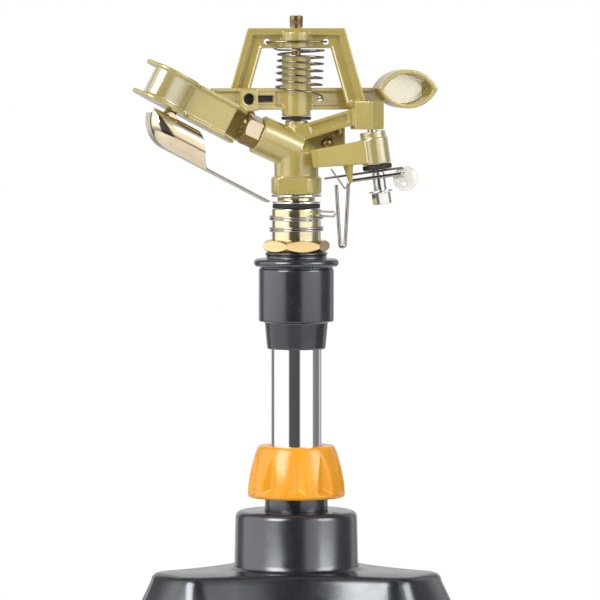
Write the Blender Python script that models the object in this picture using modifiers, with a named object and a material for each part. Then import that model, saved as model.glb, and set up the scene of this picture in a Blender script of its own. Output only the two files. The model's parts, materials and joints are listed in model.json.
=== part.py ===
"""Tripod impulse sprinkler.

Metres, +Z up. The floor is at z = 0 and the origin is the middle of the footprint, so the pole stands a
little in front of the rear leg. The jet leaves towards -X, and the rear leg points to +Y.
"""

import math

import bmesh
import bpy
from mathutils import Matrix, Vector

GAP = 0.0003

# Stand
LEG_COUNT = 3
LEG_SPREAD = math.radians(30.0)
LEG_PIVOT_R = 0.062
LEG_PIVOT_DROP = 0.018
LEG_TUBE_R = 0.0095
LEG_TUBE_WALL = 0.0012
LEG_TUBE_END = 0.300
LEG_INNER_WALL = 0.001
LEG_INNER_START = 0.055
LEG_PIN_R = 0.003
KNUCKLE_WIDTH = 0.020
KNUCKLE_HEAD_R = 0.011
KNUCKLE_SHOULDER = 0.0300
KNUCKLE_PLUG = 0.020
KNUCKLE_DRAFT = 0.0004
LEG_NUT_LENGTH = 0.030
LEG_NUT_R = 0.0145
LEG_NUT_OVERLAP = 0.016
LEG_NUT_WAIST_R = 0.0119
LEG_NUT_TOP_R = 0.0112
LEG_NUT_SKIRT = 0.0066
LEG_NUT_EDGE = 0.0012
LEG_NUT_FLUTES = 8
LEG_NUT_FLUTE_R = 0.0038
LEG_NUT_FLUTE_DEPTH = 0.0010
LEG_NUT_FLUTE_STOP = 0.0045
FOOT_R = 0.017
FOOT_THICKNESS = 0.007
FOOT_EDGE = 0.0022
FOOT_SOCKET_R = 0.011
FOOT_SOCKET_LENGTH = 0.042
FOOT_SOCKET_LIFT = 0.0010
FOOT_SOCKET_DRAFT = 0.0008
FOOT_TUBE_DEPTH = 0.026

# Hub
HUB_TOP = 0.345
HUB_DEPTH = 0.048
HUB_WALL = 0.003
HUB_FLARE = math.radians(25.5)
HUB_EDGE_R = 0.0045
HUB_LOBE_PAST_PIVOT = 0.013
HUB_LOBE_HALF_WIDTH = 0.0235
HUB_LOBE_CORNER_R = 0.012
HUB_VALLEY_R = 0.043
HUB_SOCKET_WALL = 0.0045
HUB_SOCKET_DEPTH = 0.040
HUB_RIB_THICKNESS = 0.004
HUB_RIB_LENGTH = 0.020
HUB_RIB_DEPTH = 0.033
BOSS_R = 0.0305
BOSS_HEIGHT = 0.0287
BOSS_DRAFT = 0.0005
BOSS_EDGE_R = 0.003

# Column, collet, pole and inlet
POLE_R = 0.0127
POLE_WALL = 0.0012
POLE_TOP_IN_COUPLING = 0.0206
POLE_BELOW_HUB = 0.155
POLE_SHOWN = 0.0484
COLUMN_R = 0.0154
COLUMN_TOP = 0.020
COLUMN_BELOW_HUB = 0.210
COLLET_R = 0.0158
COLLET_NECK = 0.0066
COLLET_FINGER_TAPER = 0.0014
COLLET_SLOTS = 6
COLLET_SLOT_WIDTH = 0.0016
NUT_HEIGHT = 0.0261
NUT_BOTTOM_R = 0.0244
NUT_TOP_R = 0.0194
NUT_LIP = 0.004
NUT_EDGE = 0.0011
NUT_DOME_STATIONS = (0.3, 0.6, 0.85)
NUT_FLUTES = 10
NUT_FLUTE_R = 0.0058
NUT_FLUTE_DEPTH = 0.0020
NUT_FLUTE_TOP = 0.0215
NUT_FLUTE_TURN = math.radians(271.5)
SEAL_HEIGHT = 0.008
ELBOW_SOCKET_R = 0.0195
ELBOW_SOCKET_HEIGHT = 0.022
ELBOW_CHAMBER = 0.030
ELBOW_BARREL_R = 0.0145
ELBOW_REACH = 0.048
ELBOW_BORE_R = 0.0085
CONNECTOR_FLANGE_R = 0.0155
CONNECTOR_THREAD_R = 0.0132
CONNECTOR_LENGTH = 0.026
CONNECTOR_FLANGE = 0.006
CONNECTOR_BORE_R = 0.0055
CONNECTOR_SPIGOT = 0.014
WASHER_THICKNESS = 0.0015
INLET_WASHER_R = 0.0144

# Coupling and brass nipple
COUPLING_CONE = 0.0137
COUPLING_CONE_R = 0.0146
COUPLING_SHOULDER_R = 0.0159
COUPLING_BODY = 0.0275
COUPLING_BODY_R = 0.0188
COUPLING_BEAD = 0.0039
COUPLING_BEAD_R = 0.0213
COUPLING_EDGE = 0.0011
COUPLING_NECK = 0.0033
COUPLING_NECK_R = 0.0156
COUPLING_WEB = 0.006
COUPLING_WEB_BORE_R = 0.0098
COUPLING_SEAL_HEIGHT = 0.002
NIPPLE_SPIGOT_R = 0.0103
NIPPLE_SPIGOT = 0.0100
NIPPLE_HEX_FLATS = 0.0296
NIPPLE_HEX_HEIGHT = 0.0060
NIPPLE_HEX_TURN = math.radians(42.6)
SLEEVE_R = 0.0123
SLEEVE_HEIGHT = 0.0157
BEARING_R = 0.0062
BEARING_WALL = 0.0013
BEARING_FLANGE_R = 0.0088
BEARING_FLANGE = 0.0012
BEARING_IN_BODY = 0.0085

# Ring stack between the sleeve and the body
DUST_RING_R = 0.0119
DUST_RING_HEIGHT = 0.0020
LOWER_WASHER_R = 0.0121
LOWER_WASHER_HEIGHT = 0.0010
SPACER_RING_R = 0.0095
SPACER_RING_HEIGHT = 0.0018
UPPER_WASHER_R = 0.0126
UPPER_WASHER_HEIGHT = 0.0011

# Wire trip collars
COLLAR_WIRE_R = 0.0005
COLLAR_TURNS = 2
COLLAR_COIL_GAP = 0.0002
COLLAR_TAB = 0.0015
COLLAR_PRONG_R = 0.0280
COLLAR_PRONG_HEIGHT = 0.0023
COLLAR_LOWER_HEIGHT = 0.0044
COLLAR_UPPER_HEIGHT = 0.0125
COLLAR_UPPER_PRONG = math.radians(-47.0)
COLLAR_LOWER_PRONG = math.radians(100.0)

# Body casting, heights from the underside of its collar
BODY_COLLAR_R = 0.01265
BODY_COLLAR_HEIGHT = 0.0085
BODY_COLLAR_FLATS = 0.0204
BODY_COLLAR_TURN = math.radians(-11.4)
BODY_BARREL_R = 0.0111
BODY_BARREL_TOP = 0.0235
BODY_EDGE = 0.0008
BODY_SHOULDER = ((0.0, 0.5), (0.35, 0.12), (0.8, -0.1), (1.0, -0.5))
POST_R = 0.0056
POST_TOP = 0.0367
JET_YAW = math.radians(16.0)
JET_RISE = math.radians(24.0)
JET_HEIGHT = 0.0212
NOZZLE_BARREL_R = 0.00975
NOZZLE_BARREL_LENGTH = 0.0218
WATER_BORE_R = 0.0052
NOZZLE_FLATS = 0.0140
NOZZLE_HEX_LENGTH = 0.0086
NOZZLE_SHANK = 0.009
NOZZLE_TURN = math.radians(20.0)
NOZZLE_CHAMFER = 0.0014
NOZZLE_INLET_R = 0.0039
NOZZLE_BORE_R = 0.0025
NOZZLE_MOUTH_R = 0.0037
BRIDGE_TOP = 0.08265
BRIDGE_TOP_HALF = 0.0243
BRIDGE_SPREAD = 0.2805
BRIDGE_RIM = 0.0035
BRIDGE_BAND = 0.0100
BRIDGE_DEPTH = 0.0074
BRIDGE_WEB = 0.0026
BRIDGE_LEFT_END = 0.0410
BRIDGE_RIGHT_END = 0.0440
BRIDGE_BOSS_R = 0.00765
BRIDGE_HOLE_R = 0.0015
BRIDGE_HOLE_X = 0.0147
FOOT_PLATE_FRONT = 0.0027
FOOT_PLATE_BACK = 0.0056
FOOT_PLATE_EDGE = ((-0.9, -0.53), (0.2, -0.83), (0.9, 0.0), (0.0, 0.7))
LUG_X = 0.0353
LUG_Y = -0.0022
LUG_R = 0.0087
LUG_BOTTOM = 0.0323
LUG_TOP = 0.0464
LUG_TURN = math.radians(-15.0)
STRUT_HEIGHT = 0.0078
STRUT_DEPTH = 0.0060
STRUT_DROP = 0.0070
STRUT_GROOVE = 0.0016
STRUT_LEDGE = 0.0022
STRUT_GROOVE_FROM = 0.0076
STRUT_GROOVE_STOP = 0.0052
PANEL_X = 0.0243
PANEL_TOP = 0.0345
PANEL_BOTTOM = 0.0205
PANEL_THICKNESS = 0.0022
PANEL_Y = 0.0042
SCREW_R = 0.0026
SCREW_SHANK_R = 0.0016
SCREW_X = 0.0203
SCREW_Z = 0.0310
RIVET_R = 0.0030
RIVET_SHANK_R = 0.0018
RIVET_DOME = 0.0024
RIVET_X = 0.0154
RIVET_Z = 0.0252

# Impact arm, in a frame turned with it; the spoon lies on its -X side
ARM_YAW = math.radians(16.0)
ARM_HUB_R = 0.00725
ARM_HUB_TOP = 0.0690
ARM_BORE_R = 0.0026
PIN_R = 0.0022
PIN_HEAD_R = 0.00345
PIN_HEAD_HEIGHT = 0.0060
PIN_HEAD_TIP_R = 0.0024
PIN_HEAD_EDGE = 0.0009
PIN_HEAD_NECK_R = 0.0029
PIN_HEAD_NECK = 0.0024
PIN_IN_POST = 0.010
ARM_WASHER_R = 0.00745
ARM_WASHER_HEIGHT = 0.0015
BEAM_BOTTOM = 0.0420
BEAM_TOP = 0.0529
BEAM_THICKNESS = 0.0040
BEAM_FLANGE = 0.0018
BEAM_WEB = 0.0018
BEAM_LEFT = 0.0440
BEAM_SLOT_FROM = 0.0121
BEAM_SLOT_TO = 0.0205
BEAM_SLOT_HEIGHT = 0.0035
KNUCKLE_BLOCK_FROM = 0.0211
KNUCKLE_BLOCK_TO = 0.0303
KNUCKLE_BLOCK_FRONT = 0.0052
KNUCKLE_BLOCK_BORE_R = 0.00275
SPRING_HOOK_R = 0.0013
SPRING_HOOK_X = 0.0123
SPOON_SLOPE = math.radians(27.5)
SPOON_START_R = 0.0256
SPOON_START_Z = 0.0412
SPOON_LENGTH = 0.0575
SPOON_BREADTH = 0.0178
SPOON_FLANGE = 0.0018
SPOON_BACK = 0.0060
SPOON_FRONT = 0.0070
SPOON_WEB = 0.0022
SPOON_WEB_FROM = 0.0069
SPOON_CURVE_FROM = 0.0320
SPOON_CURVE_TO = 0.0515
SPOON_BULGE = 0.0060
SPOON_TIP = 0.0018
SPOON_BACK_TO = 0.0464
EYE_FROM = 0.0405
EYE_TO = 0.0714
EYE_MIDDLE_Z = 0.0522
EYE_HEIGHT = 0.0195
EYE_WALL = 0.0022
EYE_FRONT = 0.0090
EYE_BACK = 0.0045
EYE_POCKET = 0.0098
SPRING_R = 0.0115
SPRING_WIRE_R = 0.0005
SPRING_OFFSET = 0.0020
SPRING_TURNS = 7

# Deflector flap under the spoon
FLAP_THICKNESS = 0.0009
FLAP_PIN_R = 0.0010
FLAP_PIN_HEAD_R = 0.0019
FLAP_PIN_X = 0.0655
FLAP_PIN_Z = 0.0390
FLAP_EAR_R = 0.0034
FLAP_EAR_Y = 0.0006
FLAP_EAR_THICKNESS = 0.0020
FLAP_KNUCKLE_R = 0.0022
FLAP_KNUCKLE_WIDTH = 0.0032
FLAP_SLOPE = math.radians(27.2)
FLAP_TAIL_X = 0.0154
FLAP_TAIL_Z = -0.0041
FLAP_LENGTH = 0.0590
FLAP_BOWL_R = 0.0082
FLAP_EDGE_ROLL = math.radians(8.0)
FLAP_TAB_REACH = 0.0045
FLAP_RIM = 0.0152
FLAP_RIM_FROM = 0.0360
FLAP_RIM_TO = 0.0500
FLAP_END_R = 0.0158
FLAP_END_SWEEP = math.radians(78.0)
FLAP_BACK = 0.0050
FLAP_FRONT = 0.0040

# Trip gear, on an axis that leans towards the jet side
TRIP_X = 0.0422
TRIP_Z = 0.0006
TRIP_LEAN = math.radians(-8.0)
TRIP_BOLT_R = 0.0024
TRIP_BOLT_TOP = 0.0400
TRIP_HEAD_FLATS = 0.0084
TRIP_HEAD_HEIGHT = 0.0058
TRIP_HEAD_TURN = math.radians(75.0)
BOLT_WASHER_R = 0.0059
BOLT_WASHER_HEIGHT = 0.0008
SPACER_TUBE_R = 0.0032
SPACER_TUBE_HEIGHT = 0.0088
TRIP_PLATE_THICKNESS = 0.0010
TRIP_RUBBER_R = 0.0073
TRIP_RUBBER_HEIGHT = 0.0024
LEVER_BOSS_R = 0.0071
LEVER_BOSS_HEIGHT = 0.0130
LEVER_NECK_R = 0.0064
LEVER_NECK_HEIGHT = 0.0033
LEVER_YAW = math.radians(208.0)
LEVER_LENGTH = 0.0342
LEVER_THICKNESS = 0.0070
LEVER_TIP_LOW = 0.0029
LEVER_TIP_HEIGHT = 0.0090
LEVER_POST_R = 0.0027
LEVER_POST_TIP_R = 0.0011
LEVER_POST_REACH = 0.0162
LEVER_POST_DROP = 0.0065
PLATE_LEFT = 0.0270
PLATE_RIGHT = 0.0125
PLATE_HALF_WIDTH = 0.0042
PLATE_TAPER_FROM = 0.0135
PLATE_TIP_HALF_WIDTH = 0.0021
PLATE_END_HALF_WIDTH = 0.0025
EYE_PLATE_X = 0.0130
EYE_PLATE_R = 0.0064
EYE_PLATE_DROP = 0.0050
EYE_PLATE_HOLE_R = 0.00135
EYE_PLATE_HOLE_X = 0.0122
EYE_PLATE_HOLE_RISE = 0.0026
TRIP_WIRE_R = 0.0009
TRIP_WIRE_TOP_LEFT = 0.0215
TRIP_WIRE_TOP_RIGHT = 0.0155
TRIP_WIRE_BOTTOM = 0.0320
TRIP_WIRE_LEAN = 0.0040
TRIP_WIRE_BEND_R = 0.0013
TOGGLE_WIRE_R = 0.0004
TOGGLE_HOOK_REACH = 0.0259
TOGGLE_FOOT_REACH = 0.0198
TOGGLE_FOOT_DROP = 0.0098

# Places worked out from the sizes above
LEG_TUBE_INNER_R = LEG_TUBE_R - LEG_TUBE_WALL
LEG_INNER_R = LEG_TUBE_INNER_R - GAP
PIVOT_Z = HUB_TOP - LEG_PIVOT_DROP
HUB_LOBE_R = LEG_PIVOT_R + HUB_LOBE_PAST_PIVOT
FOOT_CIRCLE_R = LEG_PIVOT_R + PIVOT_Z * math.tan(LEG_SPREAD)
LEG_TO_FLOOR = PIVOT_Z / math.cos(LEG_SPREAD)
POLE_Y = -FOOT_CIRCLE_R / 4
NUT_Z = BOSS_HEIGHT + COLLET_NECK
COUPLING_Z = NUT_Z + NUT_HEIGHT + POLE_SHOWN
COUPLING_BODY_Z = COUPLING_Z + COUPLING_CONE
COUPLING_BEAD_Z = COUPLING_BODY_Z + COUPLING_BODY
COUPLING_NECK_Z = COUPLING_BEAD_Z + COUPLING_BEAD
NIPPLE_Z = COUPLING_NECK_Z + COUPLING_NECK
SLEEVE_TOP_Z = NIPPLE_Z + NIPPLE_HEX_HEIGHT + SLEEVE_HEIGHT
DUST_RING_Z = SLEEVE_TOP_Z + GAP
LOWER_WASHER_Z = DUST_RING_Z + DUST_RING_HEIGHT + GAP
SPACER_RING_Z = LOWER_WASHER_Z + LOWER_WASHER_HEIGHT + GAP
UPPER_WASHER_Z = SPACER_RING_Z + SPACER_RING_HEIGHT + GAP
HEAD_Z = UPPER_WASHER_Z + UPPER_WASHER_HEIGHT + GAP
BOSS_TOP_Z = BRIDGE_TOP - BRIDGE_RIM
BRIDGE_BOSS_Z = BRIDGE_TOP - BRIDGE_BAND
COLLAR_RING_R = SLEEVE_R + COLLAR_WIRE_R + GAP
TRIP_PLATE_Z = GAP + BOLT_WASHER_HEIGHT + GAP + SPACER_TUBE_HEIGHT + GAP
TRIP_RUBBER_Z = TRIP_PLATE_Z + TRIP_PLATE_THICKNESS + GAP
LEVER_Z = TRIP_RUBBER_Z + TRIP_RUBBER_HEIGHT + GAP
TRIP_WIRE_Y = -(SPACER_TUBE_R + GAP + TRIP_WIRE_R)
EYE_PLATE_Z = TRIP_PLATE_Z - EYE_PLATE_DROP
TRIP_HOLE_Z = EYE_PLATE_Z + EYE_PLATE_HOLE_RISE

# Facets of round shapes
ROUND_LARGE = 32
ROUND_MEDIUM = 24
ROUND_SMALL = 16
ROUND_TINY = 12
EDGE_STATIONS = (0.0, 30.0, 60.0, 90.0)
AXIS_MERGE = 0.00002
SMOOTH_ANGLE = math.radians(35.0)
FULL_TURN = 2 * math.pi
QUARTER_TURN = math.pi / 2
REACH = 0.060

COLOURS = {
    "black_plastic": ((0.017, 0.016, 0.020, 1.0), 0.42, 0.0),
    "orange_plastic": ((0.940, 0.352, 0.012, 1.0), 0.35, 0.0),
    "olive_paint": ((0.503, 0.391, 0.102, 1.0), 0.38, 0.15),
    "chrome": ((0.780, 0.790, 0.800, 1.0), 0.10, 1.0),
    "steel": ((0.620, 0.610, 0.590, 1.0), 0.25, 1.0),
    "brass": ((0.780, 0.560, 0.260, 1.0), 0.22, 1.0),
    "plated_sheet": ((0.690, 0.610, 0.420, 1.0), 0.18, 1.0),
    "rubber": ((0.012, 0.012, 0.012, 1.0), 0.75, 0.0),
}


def clear_scene():
    """Remove the objects that a new file starts with."""
    for old in list(bpy.data.objects):
        bpy.data.objects.remove(old, do_unlink=True)


def new_collection(name):
    """Add a collection to the scene."""
    made = bpy.data.collections.new(name)
    bpy.context.scene.collection.children.link(made)
    return made


clear_scene()
PARTS = new_collection("tripod_impulse_sprinkler")
CUTTERS = new_collection("cutters")


def new_material(name, colour, roughness, metallic):
    """Make a Principled material from a linear colour."""
    material = bpy.data.materials.new(name)
    material.use_nodes = True
    shader = material.node_tree.nodes["Principled BSDF"]
    shader.inputs["Base Color"].default_value = colour
    shader.inputs["Roughness"].default_value = roughness
    shader.inputs["Metallic"].default_value = metallic
    return material


def frame(name, parent=None, location=(0, 0, 0), rotation=(0, 0, 0)):
    """Add an empty that carries pieces at a joint or a seat."""
    empty = bpy.data.objects.new(name, None)
    empty.location = location
    empty.rotation_euler = rotation
    empty.parent = parent
    empty.empty_display_size = 0.01
    PARTS.objects.link(empty)
    return empty


def smooth(mesh):
    """Shade round faces smooth and keep the edges crisp."""
    mesh.shade_smooth()
    mesh.set_sharp_from_angle(angle=SMOOTH_ANGLE)


def piece(name, bm, parent, finish, location=(0, 0, 0), rotation=(0, 0, 0)):
    """Turn a bmesh into a named piece in its parent's frame."""
    mesh = bpy.data.meshes.new(name)
    bmesh.ops.recalc_face_normals(bm, faces=bm.faces)
    bm.to_mesh(mesh)
    bm.free()
    smooth(mesh)
    made = bpy.data.objects.new(name, mesh)
    made.parent = parent
    made.location = location
    made.rotation_euler = rotation
    made.data.materials.append(new_material(name, *COLOURS[finish]))
    PARTS.objects.link(made)
    return made


def tool(target, bm, operation):
    """Hide a tool beside the target and let a Boolean use it."""
    number = len(target.modifiers) + 1
    name = f"{target.name}_{operation.lower()}_{number}"
    mesh = bpy.data.meshes.new(name)
    bmesh.ops.recalc_face_normals(bm, faces=bm.faces)
    bm.to_mesh(mesh)
    bm.free()
    made = bpy.data.objects.new(name, mesh)
    made.parent = target.parent
    made.location = target.location
    made.rotation_euler = target.rotation_euler
    made.hide_render = True
    made.display_type = "WIRE"
    CUTTERS.objects.link(made)
    boolean = target.modifiers.new(name, "BOOLEAN")
    boolean.operation = operation
    boolean.solver = "EXACT"
    boolean.object = made


def cut(target, bm):
    """Take a shape, given in the target's own frame, out of it."""
    tool(target, bm, "DIFFERENCE")


def join(target, bm):
    """Weld a shape, given in the target's own frame, to it."""
    tool(target, bm, "UNION")


def moved(bm, matrix):
    """Place the whole bmesh."""
    bmesh.ops.transform(bm, matrix=matrix, verts=bm.verts)
    return bm


def aim(start, direction):
    """A matrix that lays +Z along a direction from a start point."""
    turn = Vector(direction).to_track_quat("Z", "Y").to_matrix().to_4x4()
    return Matrix.Translation(start) @ turn


def cone(low_r, high_r, low_z, high_z, sides):
    """A cylinder or cone on the Z axis."""
    bm = bmesh.new()
    bmesh.ops.create_cone(
        bm,
        cap_ends=True,
        segments=sides,
        radius1=low_r,
        radius2=high_r,
        depth=high_z - low_z,
    )
    return moved(bm, Matrix.Translation((0, 0, (low_z + high_z) / 2)))


def rod(radius, start, end, sides):
    """A cylinder between two points."""
    span = Vector(end) - Vector(start)
    return moved(cone(radius, radius, 0, span.length, sides), aim(start, span))


def hexagon(flats, low_z, high_z, turn=0.0):
    """A hexagonal bar on the Z axis, with a corner at the given turn."""
    radius = flats / math.sqrt(3)
    bm = cone(radius, radius, low_z, high_z, 6)
    return moved(bm, Matrix.Rotation(turn + QUARTER_TURN, 4, "Z"))


def box(low, high, edge=0.0):
    """A box between two corners, with its edges rounded if asked."""
    low = Vector(low)
    high = Vector(high)
    bm = bmesh.new()
    bmesh.ops.create_cube(bm, size=1.0)
    size = high - low
    moved(bm, Matrix.Translation((low + high) / 2) @ Matrix.Diagonal((*size, 1.0)))
    if edge:
        bmesh.ops.bevel(
            bm,
            geom=bm.edges[:],
            offset=edge,
            segments=2,
            profile=0.5,
            affect="EDGES",
            clamp_overlap=True,
        )
    return bm


def lathe(outline, sides, bored):
    """A turned shape: (radius, height) points down the outer side, and back up the bore if bored."""
    mesh = bpy.data.meshes.new("outline")
    points = [(radius, 0.0, height) for radius, height in outline]
    count = len(points)
    links = [(i, i + 1) for i in range(count - 1)]
    if bored:
        links.append((count - 1, 0))
    mesh.from_pydata(points, links, [])
    carrier = bpy.data.objects.new("outline", mesh)
    CUTTERS.objects.link(carrier)
    screw = carrier.modifiers.new("Turn", "SCREW")
    screw.axis = "Z"
    screw.angle = FULL_TURN
    screw.steps = sides
    screw.render_steps = sides
    screw.use_merge_vertices = True
    screw.merge_threshold = AXIS_MERGE
    bm = evaluated(carrier)
    bpy.data.objects.remove(carrier, do_unlink=True)
    bpy.data.meshes.remove(mesh)
    return bm


def evaluated(carrier):
    """The welded bmesh of an object with its modifiers applied; the object itself stays."""
    bpy.context.view_layer.update()
    graph = bpy.context.evaluated_depsgraph_get()
    mesh = bpy.data.meshes.new_from_object(carrier.evaluated_get(graph))
    bm = bmesh.new()
    bm.from_mesh(mesh)
    bmesh.ops.remove_doubles(bm, verts=bm.verts, dist=AXIS_MERGE)
    bpy.data.meshes.remove(mesh)
    return bm


def ring(outer_r, inner_r, low_z, high_z, sides):
    """A plain ring or tube on the Z axis."""
    outline = [(outer_r, high_z), (outer_r, low_z), (inner_r, low_z), (inner_r, high_z)]
    return lathe(outline, sides, True)


def plate(outline, thickness, holes=()):
    """A flat outline in XY, with its holes, made as thick as asked about z = 0."""
    curve = bpy.data.curves.new("outline", "CURVE")
    curve.dimensions = "2D"
    curve.fill_mode = "BOTH"
    curve.extrude = thickness / 2
    for points in (outline, *holes):
        spline = curve.splines.new("POLY")
        spline.points.add(len(points) - 1)
        for point, (x, y) in zip(spline.points, points):
            point.co = (x, y, 0.0, 1.0)
        spline.use_cyclic_u = True
    carrier = bpy.data.objects.new("outline", curve)
    CUTTERS.objects.link(carrier)
    bm = evaluated(carrier)
    bpy.data.objects.remove(carrier, do_unlink=True)
    bpy.data.curves.remove(curve)
    return bm


def upright(bm, middle_y=0.0):
    """Stand a plate up so that its outline lies in XZ, about the given Y."""
    return moved(bm, Matrix.Translation((0, middle_y, 0)) @ Matrix.Rotation(QUARTER_TURN, 4, "X"))


def wire(points, radius, closed=False):
    """A round wire through the points."""
    curve = bpy.data.curves.new("wire", "CURVE")
    curve.dimensions = "3D"
    curve.bevel_depth = radius
    curve.bevel_resolution = 2
    curve.use_fill_caps = True
    spline = curve.splines.new("POLY")
    spline.points.add(len(points) - 1)
    for point, place in zip(spline.points, points):
        point.co = (*place, 1.0)
    spline.use_cyclic_u = closed
    carrier = bpy.data.objects.new("wire", curve)
    CUTTERS.objects.link(carrier)
    bm = evaluated(carrier)
    bpy.data.objects.remove(carrier, do_unlink=True)
    bpy.data.curves.remove(curve)
    return bm


def loft(rings, closed=False):
    """Skin rings of equal count; the end rings are capped, or joined to each other if closed."""
    bm = bmesh.new()
    loops = [[bm.verts.new(point) for point in points] for points in rings]
    pairs = list(zip(loops, loops[1:]))
    if closed:
        pairs.append((loops[-1], loops[0]))
    for lower, upper in pairs:
        count = len(lower)
        for i in range(count):
            j = (i + 1) % count
            bm.faces.new((lower[i], lower[j], upper[j], upper[i]))
    if not closed:
        bm.faces.new(loops[0])
        bm.faces.new(loops[-1])
    return bm


def arc(centre, radius, start, end, steps):
    """Points on an arc in a plane, both ends included."""
    points = []
    for i in range(steps + 1):
        angle = start + (end - start) * i / steps
        points.append((centre[0] + radius * math.cos(angle), centre[1] + radius * math.sin(angle)))
    return points


def hub_ring(grow, height):
    """The three-lobed outline of the hub, grown outwards by an amount, at a height."""
    corner_x = HUB_LOBE_R - HUB_LOBE_CORNER_R
    corner_y = HUB_LOBE_HALF_WIDTH - HUB_LOBE_CORNER_R
    step = math.pi / LEG_COUNT
    inset = HUB_VALLEY_R - HUB_LOBE_CORNER_R
    along = corner_x * math.cos(step) + corner_y * math.sin(step)
    far = (corner_x**2 + corner_y**2 - inset**2) / (2 * (along - inset))
    valley = Vector((far * math.cos(step), far * math.sin(step)))
    valley_r = far - HUB_VALLEY_R
    towards = valley - Vector((corner_x, corner_y))
    meet = math.atan2(towards.y, towards.x)
    corner = arc((corner_x, corner_y), HUB_LOBE_CORNER_R + grow, 0.0, meet, 3)
    away = math.atan2(-towards.y, -towards.x)
    middle = step - math.pi
    hollow = arc(valley, valley_r - grow, away, middle, 3)
    half = corner + hollow[1:]
    mirrored = [(x, -y) for x, y in reversed(half[:-1])]
    lobe = mirrored + half
    points = []
    for i in range(LEG_COUNT):
        turn = Matrix.Rotation(lobe_azimuth(i), 2)
        points += [(*(turn @ Vector(point)), height) for point in lobe]
    return points


def lobe_azimuth(i):
    """The direction of a leg, seen from above."""
    return QUARTER_TURN + FULL_TURN * i / LEG_COUNT


def hub_shell(stand):
    """The moulded hub: a flared three-lobed skirt, the boss, the socket and the ribs for the legs."""
    flare = math.tan(HUB_FLARE)
    rings = []
    for rise in EDGE_STATIONS:
        angle = math.radians(rise)
        rings.append(hub_ring(HUB_EDGE_R * (math.sin(angle) - 1), HUB_EDGE_R * (math.cos(angle) - 1)))
    rings.append(hub_ring((HUB_DEPTH - HUB_EDGE_R) * flare, -HUB_DEPTH))
    rings.append(hub_ring((HUB_DEPTH - HUB_EDGE_R) * flare - HUB_WALL, -HUB_DEPTH))
    rings.append(hub_ring(-HUB_WALL, -HUB_EDGE_R))
    rings.append(hub_ring(-HUB_WALL - HUB_EDGE_R / 2, -HUB_WALL))
    hub = piece("hub_shell", loft(rings), stand, "black_plastic", (0, 0, HUB_TOP))
    low_r = BOSS_R + BOSS_DRAFT
    sunk = HUB_WALL / 2
    boss = [(0, BOSS_HEIGHT)]
    for rise in reversed(EDGE_STATIONS):
        angle = math.radians(rise)
        out = BOSS_R - BOSS_EDGE_R * (1 - math.cos(angle))
        boss.append((out, BOSS_HEIGHT - BOSS_EDGE_R * (1 - math.sin(angle))))
    bend = BOSS_EDGE_R * (1 - math.sqrt(0.5))
    boss += [(low_r, BOSS_EDGE_R), (low_r + bend, bend), (low_r + BOSS_EDGE_R, GAP / 3)]
    boss += [(low_r + BOSS_EDGE_R, -sunk), (0, -sunk)]
    join(hub, lathe(boss, ROUND_LARGE, False))
    socket_bore = COLUMN_R + GAP
    socket_r = socket_bore + HUB_SOCKET_WALL
    join(hub, cone(socket_r, socket_r, -HUB_SOCKET_DEPTH, -HUB_WALL / 3, ROUND_MEDIUM))
    ribs_from = LEG_PIVOT_R - HUB_RIB_LENGTH / 2
    ribs_to = LEG_PIVOT_R + HUB_RIB_LENGTH / 2
    inner = KNUCKLE_WIDTH / 2 + GAP
    for i in range(LEG_COUNT):
        turn = Matrix.Rotation(lobe_azimuth(i), 4, "Z")
        for side in (-1, 1):
            near = side * inner
            far = side * (inner + HUB_RIB_THICKNESS)
            low = (ribs_from, min(near, far), -HUB_RIB_DEPTH)
            high = (ribs_to, max(near, far), -HUB_WALL / 3)
            join(hub, moved(box(low, high), turn))
    pocket_from = socket_r + GAP
    pocket_to = BOSS_R - HUB_WALL
    cut(hub, ring(pocket_to, pocket_from, -2 * HUB_WALL, BOSS_HEIGHT - HUB_WALL, ROUND_MEDIUM))
    cut(hub, cone(socket_bore, socket_bore, -REACH, COLUMN_TOP, ROUND_MEDIUM))
    collet_bore = COLLET_R + GAP
    cut(hub, cone(collet_bore, collet_bore, COLUMN_TOP - GAP, REACH, ROUND_MEDIUM))
    for i in range(LEG_COUNT):
        turn = Matrix.Rotation(lobe_azimuth(i), 4, "Z")
        wide = inner + HUB_RIB_THICKNESS + HUB_WALL / 2
        hole = rod(
            LEG_PIN_R + GAP,
            (LEG_PIVOT_R, -wide, -LEG_PIVOT_DROP),
            (LEG_PIVOT_R, wide, -LEG_PIVOT_DROP),
            ROUND_TINY,
        )
        cut(hub, moved(hole, turn))
    return hub


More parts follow.
